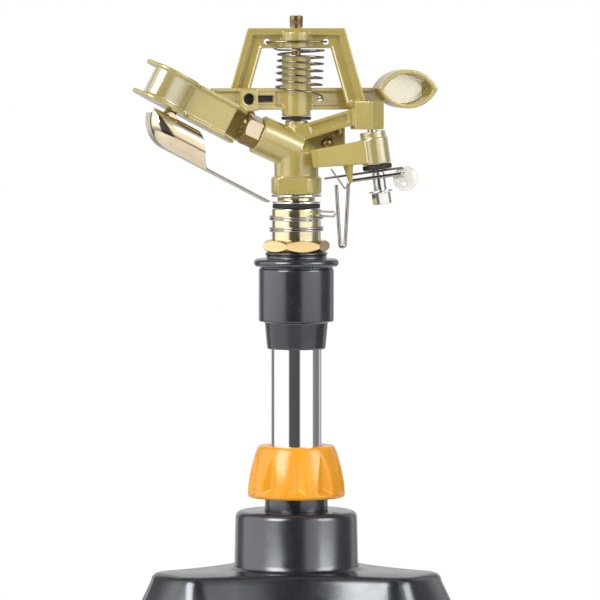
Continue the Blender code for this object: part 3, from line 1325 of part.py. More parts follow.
def impact_arm(turn):
    """The olive arm: hub, I-beam, knuckle block, spoon and eye-shaped counterweight."""
    hub_low = POST_TOP + ARM_WASHER_HEIGHT + 2 * GAP
    hub = cone(ARM_HUB_R, ARM_HUB_R, hub_low, ARM_HUB_TOP, ROUND_MEDIUM)
    arm = piece("impact_arm", hub, turn, "olive_paint")
    half = BEAM_THICKNESS / 2
    web = BEAM_WEB / 2
    right = EYE_FROM + 2 * EYE_WALL
    join(arm, box((-BEAM_LEFT + GAP, -web, BEAM_BOTTOM + GAP), (right - GAP, web, BEAM_TOP - GAP)))
    for low in (BEAM_BOTTOM, BEAM_TOP - BEAM_FLANGE):
        join(arm, box((-BEAM_LEFT, -half, low), (right, half, low + BEAM_FLANGE)))
    knuckle_low = (-KNUCKLE_BLOCK_TO, -KNUCKLE_BLOCK_FRONT, BEAM_BOTTOM - BEAM_FLANGE / 3)
    knuckle_high = (-KNUCKLE_BLOCK_FROM, half - GAP, BEAM_TOP - BEAM_FLANGE / 3)
    join(arm, box(knuckle_low, knuckle_high))
    spoon(arm)
    depth = EYE_FRONT + EYE_BACK
    join(arm, upright(plate(lens(0.0), depth), (EYE_BACK - EYE_FRONT) / 2))
    ear_start = (-FLAP_PIN_X, FLAP_EAR_Y, FLAP_PIN_Z)
    ear_end = (-FLAP_PIN_X, FLAP_EAR_Y + FLAP_EAR_THICKNESS, FLAP_PIN_Z)
    join(arm, rod(FLAP_EAR_R, ear_start, ear_end, ROUND_SMALL))
    cut(arm, upright(plate(lens(EYE_WALL), EYE_POCKET), -EYE_FRONT + EYE_POCKET / 2 - GAP))
    cut(arm, cone(ARM_BORE_R, ARM_BORE_R, hub_low - GAP, ARM_HUB_TOP + GAP, ROUND_TINY))
    slot_z = (BEAM_TOP + BEAM_BOTTOM) / 2
    slot_low = (-BEAM_SLOT_TO, -half, slot_z - BEAM_SLOT_HEIGHT / 2)
    slot_high = (-BEAM_SLOT_FROM, half, slot_z + BEAM_SLOT_HEIGHT / 2)
    cut(arm, box(slot_low, slot_high))
    bore_x = -(KNUCKLE_BLOCK_FROM + KNUCKLE_BLOCK_TO) / 2
    bore_end = -KNUCKLE_BLOCK_FRONT / 3
    cut(arm, rod(KNUCKLE_BLOCK_BORE_R, (bore_x, -REACH, slot_z), (bore_x, bore_end, slot_z), ROUND_SMALL))
    cut(arm, rod(SPRING_HOOK_R, (SPRING_HOOK_X, -REACH, slot_z), (SPRING_HOOK_X, REACH, slot_z), ROUND_TINY))
    pin_bore = FLAP_PIN_R + GAP
    cut(arm, rod(pin_bore, (-FLAP_PIN_X, -GAP, FLAP_PIN_Z), (-FLAP_PIN_X, REACH / 4, FLAP_PIN_Z), ROUND_TINY))
    return arm


def deflector(turn):
    """The plated flap that hangs under the spoon: a flat tail with a scoop at its outer end."""
    knuckle_front = FLAP_EAR_Y - GAP - FLAP_KNUCKLE_WIDTH
    bore_front = knuckle_front + FLAP_THICKNESS
    ear_back = FLAP_EAR_Y + FLAP_EAR_THICKNESS
    pin = rod(FLAP_PIN_R, (0, bore_front + GAP, 0), (0, ear_back + 2 * GAP, 0), ROUND_TINY)
    made = piece("deflector_pin", pin, turn, "steel", (-FLAP_PIN_X, 0, FLAP_PIN_Z))
    head_front = ear_back + GAP
    join(made, rod(FLAP_PIN_HEAD_R, (0, head_front, 0), (0, head_front + FLAP_THICKNESS, 0), ROUND_TINY))
    seat = frame("deflector_hinge", turn, (-FLAP_PIN_X, 0, FLAP_PIN_Z))
    along = Vector((-math.cos(FLAP_SLOPE), 0, math.sin(FLAP_SLOPE)))
    above = Vector((math.sin(FLAP_SLOPE), 0, math.cos(FLAP_SLOPE)))
    tail = Vector((FLAP_PIN_X - FLAP_TAIL_X, 0, FLAP_TAIL_Z - FLAP_PIN_Z))
    sections = []
    stations = 16
    for i in range(stations + 1):
        run = FLAP_LENGTH * i / stations
        sections.append(flap_section(tail + along * run, above, FLAP_BOWL_R, rim_height(run)))
    stations = 6
    for i in range(1, stations + 1):
        angle = FLAP_END_SWEEP * i / stations
        lift = FLAP_END_R * (1 - math.cos(angle))
        start = tail + along * (FLAP_LENGTH + FLAP_END_R * math.sin(angle)) + above * lift
        sections.append(flap_section(start, above, FLAP_BOWL_R * math.cos(angle), FLAP_RIM - lift))
    flap = piece("deflector_flap", sheet(sections), seat, "plated_sheet")
    solid = flap.modifiers.new("Gauge", "SOLIDIFY")
    solid.thickness = FLAP_THICKNESS
    solid.offset = 0.0
    solid.use_even_offset = True
    slope = Matrix.Rotation(FLAP_SLOPE, 4, "Y")
    tab_low = (-FLAP_KNUCKLE_R, -FLAP_FRONT - FLAP_TAB_REACH, -FLAP_THICKNESS)
    tab_high = (FLAP_KNUCKLE_R - GAP, bore_front - GAP, FLAP_THICKNESS)
    join(flap, moved(box(tab_low, tab_high), slope))
    join(flap, rod(FLAP_KNUCKLE_R, (0, knuckle_front, 0), (0, FLAP_EAR_Y - GAP, 0), ROUND_SMALL))
    bore = FLAP_PIN_R + GAP
    cut(flap, rod(bore, (0, bore_front, 0), (0, FLAP_EAR_Y, 0), ROUND_TINY))


def rim_height(run):
    """How high the flap's front edge stands above its floor at a run from the tail."""
    low = FLAP_BOWL_R * (1 - math.cos(FLAP_EDGE_ROLL))
    share = (run - FLAP_RIM_FROM) / (FLAP_RIM_TO - FLAP_RIM_FROM)
    return low + (FLAP_RIM - low) * min(max(share, 0.0), 1.0)


def flap_section(start, above, radius, rim):
    """One cross-section of the flap: flat at the back, rolled up at the front as high as its rim."""
    points = [start + Vector((0, FLAP_BACK - (FLAP_BACK + FLAP_FRONT) * k / 3, 0)) for k in range(4)]
    steps = 7
    roll = math.acos(1 - rim / radius)
    for k in range(1, steps + 1):
        angle = roll * k / steps
        out = -FLAP_FRONT - radius * math.sin(angle)
        points.append(start + Vector((0, out, 0)) + above * radius * (1 - math.cos(angle)))
    return points


def sheet(sections):
    """An open surface through sections of equal count."""
    bm = bmesh.new()
    rows = [[bm.verts.new(point) for point in points] for points in sections]
    for lower, upper in zip(rows, rows[1:]):
        for i in range(len(lower) - 1):
            bm.faces.new((lower[i], lower[i + 1], upper[i + 1], upper[i]))
    return bm


def trip_gear(head):
    """The bolt through the lug with its washers, and the lever, plate and wire that turn on it."""
    lean = (0, TRIP_LEAN, 0)
    seat = frame("trip_seat", head, (TRIP_X, LUG_Y, TRIP_Z), lean)
    bolt_head = hexagon(TRIP_HEAD_FLATS, -TRIP_HEAD_HEIGHT, 0, TRIP_HEAD_TURN)
    bolt = piece("trip_bolt", bolt_head, seat, "steel")
    join(bolt, cone(TRIP_BOLT_R, TRIP_BOLT_R, -TRIP_HEAD_HEIGHT / 2, TRIP_BOLT_TOP, ROUND_TINY))
    inner = TRIP_BOLT_R + GAP
    washer = ring(BOLT_WASHER_R, inner, GAP, GAP + BOLT_WASHER_HEIGHT, ROUND_SMALL)
    piece("bolt_washer", washer, seat, "steel")
    low = 2 * GAP + BOLT_WASHER_HEIGHT
    spacer = ring(SPACER_TUBE_R, inner, low, low + SPACER_TUBE_HEIGHT, ROUND_SMALL)
    piece("spacer_tube", spacer, seat, "steel")
    rubber = ring(TRIP_RUBBER_R, inner, TRIP_RUBBER_Z, TRIP_RUBBER_Z + TRIP_RUBBER_HEIGHT, ROUND_SMALL)
    piece("trip_rubber_washer", rubber, seat, "rubber")
    trip_lever(frame("trip_lever_turn", seat, (0, 0, 0)), inner)
    trip_plate(frame("trip_plate_turn", seat, (0, 0, 0)), inner)


def trip_lever(turn, inner):
    """The olive lever with its bored boss, its neck and the post under its arm."""
    boss_top = LEVER_Z + LEVER_BOSS_HEIGHT
    boss = cone(LEVER_BOSS_R, LEVER_BOSS_R, LEVER_Z, boss_top, ROUND_MEDIUM)
    lever = piece("trip_lever", boss, turn, "olive_paint")
    neck_top = boss_top + LEVER_NECK_HEIGHT
    join(lever, cone(LEVER_NECK_R, LEVER_NECK_R, boss_top - GAP * 3, neck_top, ROUND_SMALL))
    low = LEVER_Z + LEVER_TIP_LOW
    outline = [
        (0, LEVER_Z + GAP),
        (LEVER_LENGTH, low),
        (LEVER_LENGTH, low + LEVER_TIP_HEIGHT),
        (0, boss_top - GAP),
    ]
    yaw = Matrix.Rotation(LEVER_YAW, 4, "Z")
    join(lever, moved(upright(plate(outline, LEVER_THICKNESS)), yaw))
    post_low = LEVER_Z - LEVER_POST_DROP
    post = cone(LEVER_POST_TIP_R, LEVER_POST_R, post_low, LEVER_Z + LEVER_TIP_LOW, ROUND_TINY)
    join(lever, moved(post, yaw @ Matrix.Translation((LEVER_POST_REACH, 0, 0))))
    cut(lever, cone(inner, inner, LEVER_Z - GAP, neck_top + GAP, ROUND_TINY))
    toggle_spring(turn, yaw)


def toggle_spring(turn, yaw):
    """The thin wire that snaps the lever over, bent to a V under the lever."""
    hook = yaw @ Vector((TOGGLE_HOOK_REACH, 0, LEVER_Z + LEVER_TIP_LOW / 3))
    foot = yaw @ Vector((TOGGLE_FOOT_REACH, 0, LEVER_Z - TOGGLE_FOOT_DROP))
    rest = yaw @ Vector((LEVER_POST_REACH, 0, LEVER_Z - LEVER_POST_DROP - TOGGLE_WIRE_R - GAP))
    piece("toggle_spring", wire([hook, foot, rest], TOGGLE_WIRE_R), turn, "steel")


def trip_plate(turn, inner):
    """The plated bracket that holds the trip wire, and the wire itself."""
    low = TRIP_PLATE_Z
    high = low + TRIP_PLATE_THICKNESS
    strip = [
        (-PLATE_LEFT, -PLATE_TIP_HALF_WIDTH),
        (-PLATE_TAPER_FROM, -PLATE_HALF_WIDTH),
        (PLATE_RIGHT, -PLATE_HALF_WIDTH),
        (PLATE_RIGHT, PLATE_END_HALF_WIDTH),
        (-PLATE_TAPER_FROM, PLATE_HALF_WIDTH),
        (-PLATE_LEFT, PLATE_TIP_HALF_WIDTH),
    ]
    lift = Matrix.Translation((0, 0, (low + high) / 2))
    bracket = piece("trip_plate", moved(plate(strip, TRIP_PLATE_THICKNESS), lift), turn, "plated_sheet")
    face = TRIP_WIRE_Y + TRIP_WIRE_R + GAP
    octagon = arc((EYE_PLATE_X, EYE_PLATE_Z), EYE_PLATE_R, math.pi / 8, math.pi / 8 + FULL_TURN, 8)[:-1]
    join(bracket, upright(plate(octagon, TRIP_PLATE_THICKNESS), face + TRIP_PLATE_THICKNESS / 2))
    cut(bracket, cone(inner, inner, low - GAP, high + GAP, ROUND_TINY))
    for z in (TRIP_HOLE_Z, EYE_PLATE_Z - EYE_PLATE_HOLE_RISE):
        start = (EYE_PLATE_HOLE_X, face - GAP, z)
        end = (EYE_PLATE_HOLE_X, face + TRIP_PLATE_THICKNESS + GAP, z)
        cut(bracket, rod(EYE_PLATE_HOLE_R, start, end, ROUND_TINY))
    seat = frame("trip_wire_turn", turn, (EYE_PLATE_HOLE_X, TRIP_WIRE_Y, TRIP_HOLE_Z))
    through = -TRIP_WIRE_Y + face + TRIP_PLATE_THICKNESS + TRIP_WIRE_R
    left = EYE_PLATE_HOLE_X + TRIP_WIRE_TOP_LEFT
    right = EYE_PLATE_HOLE_X + TRIP_WIRE_TOP_RIGHT
    middle = (left + right) / 2 + TRIP_WIRE_LEAN
    elbow = TRIP_WIRE_R - GAP
    points = [(0, through, 0), (0, elbow, 0), (-elbow, 0, 0)]
    points += [(-right + TRIP_WIRE_R * 2, 0, 0), (-right, 0, -TRIP_WIRE_R * 2)]
    bend_z = -TRIP_WIRE_BOTTOM + TRIP_WIRE_BEND_R
    bend = arc((-middle, bend_z), TRIP_WIRE_BEND_R, 0.0, -math.pi, 6)
    points += [(x, 0, z) for x, z in bend]
    points.append((-left, 0, -TRIP_WIRE_R))
    piece("trip_wire", wire(points, TRIP_WIRE_R), seat, "steel")


def build():
    """Put the sprinkler together from the floor up."""
    stand = frame("stand", None, (0, POLE_Y, 0))
    hub_shell(stand)
    for i in range(LEG_COUNT):
        leg(stand, i)
    outer_column(stand)
    collet_sleeve(stand)
    pole_lock_nut(stand)
    inlet(stand)
    slide = frame("riser_slide", stand, (0, 0, HUB_TOP))
    riser(slide)
    brass_nipple(slide)
    trip_collar("trip_collar_upper", slide, COLLAR_UPPER_HEIGHT, COLLAR_UPPER_PRONG, True)
    trip_collar("trip_collar_lower", slide, COLLAR_LOWER_HEIGHT, COLLAR_LOWER_PRONG, False)
    head = frame("head_turn", slide, (0, 0, HEAD_Z))
    bearing(head)
    sprinkler_body(head)
    side_fasteners(head)
    nozzle(head)
    fulcrum(head)
    arm_spring(head)
    turn = frame("arm_turn", head, (0, 0, 0), (0, 0, ARM_YAW))
    impact_arm(turn)
    deflector(turn)
    trip_gear(head)


build()
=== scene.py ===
"""Dresses the tripod impulse sprinkler: finished meshes, finishes, light and camera.

Sizes are in millimetres and angles in degrees, unless a name or a docstring says otherwise.
"""

import json
import logging
import math
from dataclasses import dataclass
from enum import Enum
from typing import Callable, Sequence

import bmesh
import bpy
from mathutils import Matrix, Vector


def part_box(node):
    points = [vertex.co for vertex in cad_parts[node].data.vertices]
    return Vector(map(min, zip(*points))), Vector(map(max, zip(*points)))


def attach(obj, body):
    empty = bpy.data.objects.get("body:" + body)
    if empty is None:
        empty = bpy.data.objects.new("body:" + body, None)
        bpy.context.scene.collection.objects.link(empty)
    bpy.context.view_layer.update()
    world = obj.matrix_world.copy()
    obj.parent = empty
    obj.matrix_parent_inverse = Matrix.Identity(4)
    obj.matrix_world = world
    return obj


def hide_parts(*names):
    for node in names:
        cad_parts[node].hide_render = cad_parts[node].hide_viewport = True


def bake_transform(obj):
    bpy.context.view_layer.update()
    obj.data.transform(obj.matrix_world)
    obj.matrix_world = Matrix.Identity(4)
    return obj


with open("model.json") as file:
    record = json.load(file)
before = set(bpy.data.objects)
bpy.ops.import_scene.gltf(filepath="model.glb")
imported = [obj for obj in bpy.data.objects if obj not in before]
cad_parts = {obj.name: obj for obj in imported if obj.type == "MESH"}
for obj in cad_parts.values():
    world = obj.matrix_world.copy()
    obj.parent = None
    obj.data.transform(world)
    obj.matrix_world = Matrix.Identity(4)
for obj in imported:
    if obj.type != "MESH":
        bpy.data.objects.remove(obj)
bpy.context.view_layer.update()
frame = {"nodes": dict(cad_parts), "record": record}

LOG = logging.getLogger("sprinkler")
MM = 0.001
GAP = 0.3  # the clearance between neighbouring pieces
PAST = 1.0  # how far a cut goes past a face, and how far a solid goes into its neighbour
BORE_SIDES = 48
SOLID_SIDES = 96
ROUND_SIDES = 128
FINE_SIDES = 160
HEX_CREASE = 28.0  # the angle that keeps a hexagon's edges crisp
TURN = 2 * math.pi
QUARTER = math.pi / 2
UPRIGHT = Matrix.Rotation(QUARTER, 4, "X")

Pair = tuple[float, float]
Triple = tuple[float, float, float]
Socket = bpy.types.NodeSocket


class Slot(Enum):
    """The record's material slots."""

    OLIVE = "olive_paint"
    BRASS = "brass"
    STEEL = "steel"
    SHEET = "plated_sheet"
    CHROME = "chrome"
    BLACK = "black_plastic"
    ORANGE = "orange_plastic"
    RUBBER = "rubber"


class Graph:
    """A node tree whose nodes are added and fed in one call each."""

    def __init__(self, tree: bpy.types.NodeTree) -> None:
        """Take the tree that the nodes go into."""
        self.tree = tree

    def feed(self, node: bpy.types.Node, inputs: dict[str | int, object]) -> None:
        """Link a node's inputs to sockets, or set them to plain values.

        Args:
            node: The node to feed.
            inputs: A socket or a value for each input's name or number.
        """
        for name, value in inputs.items():
            if isinstance(value, Socket):
                self.tree.links.new(value, node.inputs[name])
            else:
                node.inputs[name].default_value = value

    def add(self, kind: str, output: str | int = 0, inputs: dict[str | int, object] | None = None,
            **settings: str) -> Socket:
        """Add a shader node.

        Args:
            kind: The node's type, without the start that all share.
            output: The output that is wanted.
            inputs: A socket or a value for each input's name or number.
            **settings: The node's own settings, which choose its sockets.

        Returns:
            The wanted output.
        """
        node = self.tree.nodes.new("ShaderNode" + kind)
        for name, value in settings.items():
            setattr(node, name, value)
        self.feed(node, inputs or {})
        return node.outputs[output]


@dataclass(frozen=True)
class Finish:
    """A procedural finish: a base colour with mottling, uneven gloss and a fine relief.

    Scales are in waves a metre, and the relief's height is in millimetres.
    """

    name: str
    slot: Slot
    colour: Triple
    second: Triple
    roughness: float
    metallic: float
    mottle_scale: float = 90.0
    gloss_spread: float = 0.06
    relief_scale: float = 900.0
    relief_height: float = 0.02
    relief_strength: float = 0.25
    coat: float = 0.0
    coat_roughness: float = 0.1
    specular: float = 0.5
    specular_tint: Triple = (1.0, 1.0, 1.0)
    ior: float = 1.5
    stretch: Triple = (1.0, 1.0, 1.0)
    noise_middle: Pair = (0.35, 0.65)

    def material(self) -> bpy.types.Material:
        """Make the finish's material.

        Returns:
            The new node material.
        """
        made = bpy.data.materials.new(self.name)
        made.use_nodes = True
        graph = Graph(made.node_tree)
        source = graph.add("TexCoord", "Object")
        place = graph.add("Mapping", "Vector", {"Vector": source, "Scale": self.stretch})
        graph.feed(made.node_tree.nodes["Principled BSDF"], {
            "Metallic": self.metallic,
            "Coat Weight": self.coat,
            "Coat Roughness": self.coat_roughness,
            "Specular IOR Level": self.specular,
            "Specular Tint": (*self.specular_tint, 1.0),
            "IOR": self.ior,
            "Base Color": self.paint(graph, place),
            "Roughness": self.gloss(graph, place),
            "Normal": self.relief(graph, place),
        })
        made.diffuse_color = (*self.colour, 1.0)
        return made

    def noise(self, graph: Graph, place: Socket, scale: float, low: float, high: float) -> Socket:
        """A soft noise whose middle is stretched to a range.

        Args:
            graph: The material's graph.
            place: The vector that places the pattern.
            scale: Waves a metre.
            low: The result at the noise's low end.
            high: The result at its high end.

        Returns:
            The stretched value.
        """
        value = graph.add("TexNoise", "Fac", {"Scale": scale, "Detail": 4.0, "Vector": place})
        return graph.add("MapRange", "Result", {
            "Value": value,
            "From Min": self.noise_middle[0],
            "From Max": self.noise_middle[1],
            "To Min": low,
            "To Max": high,
        })

    def paint(self, graph: Graph, place: Socket) -> Socket:
        """Mix the two colours by a soft noise.

        Args:
            graph: The material's graph.
            place: The vector that places the pattern.

        Returns:
            The mixed colour.
        """
        share = self.noise(graph, place, self.mottle_scale, 0.0, 1.0)
        colours = {"A": (*self.colour, 1.0), "B": (*self.second, 1.0), "Factor": share}
        return graph.add("Mix", "Result", colours, data_type="RGBA")

    def gloss(self, graph: Graph, place: Socket) -> Socket:
        """Vary the roughness a little about its value."""
        low, high = self.roughness - self.gloss_spread, self.roughness + self.gloss_spread
        return self.noise(graph, place, self.mottle_scale * 2.3, low, high)

    def relief(self, graph: Graph, place: Socket) -> Socket:
        """Bump from a fine noise.

        Args:
            graph: The material's graph.
            place: The vector that places the pattern.

        Returns:
            The bumped normal.
        """
        grain = {"Scale": self.relief_scale, "Detail": 2.0, "Vector": place}
        return graph.add("Bump", "Normal", {
            "Strength": self.relief_strength,
            "Distance": self.relief_height * MM,
            "Height": graph.add("TexNoise", "Fac", grain),
        })


OLIVE = Finish(
    "olive_paint", Slot.OLIVE, (0.470, 0.370, 0.092), (0.440, 0.344, 0.082), 0.28, 0.0, mottle_scale=60.0,
    gloss_spread=0.04, relief_scale=700.0, coat=1.0, coat_roughness=0.12, specular=1.0,
    specular_tint=(1.0, 0.96, 0.84), ior=1.62)
MATT_OLIVE = Finish(
    "matt_olive_paint", Slot.OLIVE, (0.470, 0.370, 0.080), (0.440, 0.344, 0.072), 0.42, 0.0,
    mottle_scale=60.0, gloss_spread=0.04, relief_scale=700.0, coat=0.2, coat_roughness=0.3, specular=0.4)
GLOSSY_OLIVE = Finish(
    "glossy_olive_paint", Slot.OLIVE, (0.450, 0.365, 0.105), (0.420, 0.340, 0.095), 0.22, 0.0,
    mottle_scale=60.0, gloss_spread=0.03, relief_scale=700.0, relief_height=0.015, relief_strength=0.2,
    coat=1.0, specular=1.0, ior=2.1)
# Pale, half-metallic olive: a painted highlight, standing in for the bright reflection on the eye's floor.
PAINTED_HIGHLIGHT_OLIVE = Finish(
    "painted_highlight_olive_paint", Slot.OLIVE, (0.900, 0.860, 0.700), (0.870, 0.820, 0.650), 0.26, 0.7,
    mottle_scale=60.0, gloss_spread=0.04, relief_scale=700.0, relief_height=0.01, relief_strength=0.1)
BRASS = Finish(
    "brass", Slot.BRASS, (0.84, 0.62, 0.32), (0.79, 0.55, 0.25), 0.17, 1.0, mottle_scale=160.0,
    relief_scale=2600.0, relief_height=0.01, relief_strength=0.2, stretch=(0.15, 0.15, 1.0))
PALE_BRASS = Finish(
    "pale_brass", Slot.BRASS, (0.84, 0.76, 0.52), (0.76, 0.66, 0.40), 0.15, 1.0, mottle_scale=160.0,
    relief_scale=2600.0, relief_height=0.01, relief_strength=0.2, stretch=(0.15, 0.15, 1.0))
BRONZE = Finish(
    "bronze", Slot.BRASS, (0.74, 0.62, 0.45), (0.70, 0.56, 0.38), 0.13, 1.0, mottle_scale=110.0,
    gloss_spread=0.03, relief_scale=2600.0, relief_height=0.005, relief_strength=0.1)
DARK_BRASS = Finish(
    "dark_brass", Slot.BRASS, (0.40, 0.28, 0.15), (0.34, 0.22, 0.11), 0.30, 1.0, mottle_scale=220.0,
    relief_scale=2600.0, relief_height=0.01, relief_strength=0.2)
STEEL = Finish("steel", Slot.STEEL, (0.82, 0.80, 0.77), (0.74, 0.72, 0.69), 0.16, 1.0, mottle_scale=200.0)
# Darker copies of steel: painted shade, standing in for the dark surroundings that thin wires reflect.
PAINTED_SHADE_WIRE_STEEL = Finish(
    "painted_shade_wire_steel", Slot.STEEL, (0.50, 0.47, 0.43), (0.42, 0.39, 0.36), 0.15, 1.0, mottle_scale=200.0)
# Darker still: painted shade for the springs.
PAINTED_SHADE_SPRING_STEEL = Finish(
    "painted_shade_spring_steel", Slot.STEEL, (0.30, 0.27, 0.24), (0.22, 0.20, 0.18), 0.16, 1.0, mottle_scale=200.0)
SHEET = Finish(
    "plated_sheet", Slot.SHEET, (0.84, 0.74, 0.54), (0.78, 0.65, 0.44), 0.11, 1.0, mottle_scale=60.0,
    relief_scale=120.0, relief_height=0.05, relief_strength=0.15)
# Near-white, mostly non-metallic sheet: a painted reflection, keeping the plate as bright as plated metal
# facing a bright light.
PAINTED_REFLECTION_SHEET = Finish(
    "painted_reflection_sheet", Slot.SHEET, (0.98, 0.93, 0.86), (0.95, 0.89, 0.81), 0.16, 0.22, mottle_scale=80.0,
    relief_scale=160.0, relief_height=0.04, relief_strength=0.15)
# Dark edge finish: painted shade, a dark outline laid on a sheet's thin edges.
PAINTED_SHADE_EDGE = Finish(
    "painted_shade_sheet_edge", Slot.SHEET, (0.26, 0.21, 0.17), (0.20, 0.16, 0.13), 0.30, 0.9, mottle_scale=160.0)
CHROME = Finish(
    "chrome", Slot.CHROME, (0.86, 0.87, 0.88), (0.83, 0.84, 0.86), 0.05, 1.0, gloss_spread=0.02,
    relief_strength=0.03)
BLACK = Finish(
    "black_plastic", Slot.BLACK, (0.0085, 0.0085, 0.0125), (0.0110, 0.0112, 0.0155), 0.25, 0.0,
    gloss_spread=0.03, relief_scale=1500.0, relief_strength=0.3, coat=0.55, coat_roughness=0.2, specular=1.0,
    specular_tint=(0.90, 0.94, 1.0), ior=1.55)
ORANGE = Finish(
    "orange_plastic", Slot.ORANGE, (0.94, 0.395, 0.004), (0.90, 0.355, 0.004), 0.28, 0.0, gloss_spread=0.04,
    relief_scale=1200.0, coat=0.4, coat_roughness=0.15)
RUBBER = Finish(
    "rubber", Slot.RUBBER, (0.012, 0.012, 0.012), (0.017, 0.017, 0.016), 0.62, 0.0, relief_scale=2200.0,
    relief_height=0.04, relief_strength=0.4)
SLOT_FINISHES = (OLIVE, BRASS, STEEL, SHEET, CHROME, BLACK, ORANGE, RUBBER)
NODE_FINISHES = {
    "nozzle": BRONZE,
    "spacer_ring": PALE_BRASS,
    "trip_lever": GLOSSY_OLIVE,
    "fulcrum_pin": DARK_BRASS,
    "side_screw": DARK_BRASS,
    "dome_rivet": DARK_BRASS,
    # The springs, collars and wires take the darker steels, which carry painted shade.
    "arm_spring": PAINTED_SHADE_SPRING_STEEL,
    "toggle_spring": PAINTED_SHADE_SPRING_STEEL,
    "trip_collar_lower": PAINTED_SHADE_WIRE_STEEL,
    "trip_collar_upper": PAINTED_SHADE_WIRE_STEEL,
    # The trip plate's near-white colour is a painted reflection.
    "trip_plate": PAINTED_REFLECTION_SHEET,
    "trip_wire": PAINTED_SHADE_WIRE_STEEL,
}


def soften(points: Sequence[Sequence[float]], radius: float, steps: int = 4,
           closed: bool = True) -> list[tuple[float, ...]]:
    """Round the corners of an outline or a route.

    Args:
        points: The corners.
        radius: How far from a corner its rounding starts.
        steps: The pieces of each rounding.
        closed: Whether the last point joins the first.

    Returns:
        The rounded points.
    """
    corners = [Vector(point) for point in points]
    last = len(corners) - 1
    out: list[tuple[float, ...]] = []
    for i, corner in enumerate(corners):
        if not closed and i in (0, last):
            out.append(tuple(corner))
            continue
        before = corners[i - 1] - corner
        after = corners[(i + 1) % len(corners)] - corner
        start = corner + before.normalized() * min(radius, before.length * 0.45)
        end = corner + after.normalized() * min(radius, after.length * 0.45)
        for k in range(steps + 1):
            t = k / steps
            out.append(tuple(start * (1 - t) ** 2 + corner * (2 * t * (1 - t)) + end * t ** 2))
    return out


def arc(centre: Pair, radius: float, start: float, end: float, steps: int) -> list[Pair]:
    """Points along an arc of a circle, both ends included, between two angles in radians."""
    angles = [start + (end - start) * i / steps for i in range(steps + 1)]
    return [(centre[0] + radius * math.cos(a), centre[1] + radius * math.sin(a)) for a in angles]


def ring(inner: float, outer: float, low: float, high: float) -> list[Pair]:
    """The square section of a ring, as radii and heights."""
    return [(inner, high), (outer, high), (outer, low), (inner, low)]


def spin_z(degrees: float) -> Matrix:
    """A turn about Z."""
    return Matrix.Rotation(math.radians(degrees), 4, "Z")


def to_mesh(bm: bmesh.types.BMesh, name: str) -> bpy.types.Mesh:
    """Write a bmesh into a new mesh and free it.

    Args:
        bm: The bmesh.
        name: The mesh's name.

    Returns:
        The new mesh.
    """
    made = bpy.data.meshes.new(name)
    bm.to_mesh(made)
    bm.free()
    return made


def linked(name: str, data: bpy.types.ID) -> bpy.types.Object:
    """Link a new object in the scene.

    Args:
        name: The object's name.
        data: Its mesh, curve, lamp or camera.

    Returns:
        The new object.
    """
    made = bpy.data.objects.new(name, data)
    bpy.context.scene.collection.objects.link(made)
    return made


def baked(helper: bpy.types.Object) -> bpy.types.Mesh:
    """Take the mesh that a helper has after its modifiers, and remove the helper.

    Args:
        helper: The object to bake.

    Returns:
        The baked mesh.
    """
    bpy.context.view_layer.update()
    graph = bpy.context.evaluated_depsgraph_get()
    made = bpy.data.meshes.new_from_object(helper.evaluated_get(graph))
    bpy.data.objects.remove(helper)
    return made


def wire(name: str, points: Sequence[Triple], radius: float, place: Matrix) -> bpy.types.Mesh:
    """Draw a round wire along a line of points.

    Args:
        name: The mesh's name.
        points: The wire's middle line.
        radius: The wire's radius.
        place: Where the wire's frame lies.

    Returns:
        The wire's mesh, in metres.
    """
    curve = bpy.data.curves.new(name, "CURVE")
    curve.dimensions = "3D"
    spline = curve.splines.new("POLY")
    spline.points.add(len(points) - 1)
    for target, point in zip(spline.points, points):
        target.co = (*point, 1.0)
    curve.bevel_depth = radius
    curve.bevel_resolution = 5
    curve.use_fill_caps = True
    made = baked(linked(name, curve))
    bm = bmesh.new()
    bm.from_mesh(made)
    bmesh.ops.remove_doubles(bm, verts=bm.verts, dist=1e-5)
    bmesh.ops.recalc_face_normals(bm, faces=bm.faces)
    bmesh.ops.transform(bm, matrix=Matrix.Scale(MM, 4) @ place, verts=bm.verts)
    bm.to_mesh(made)
    bm.free()
    return made


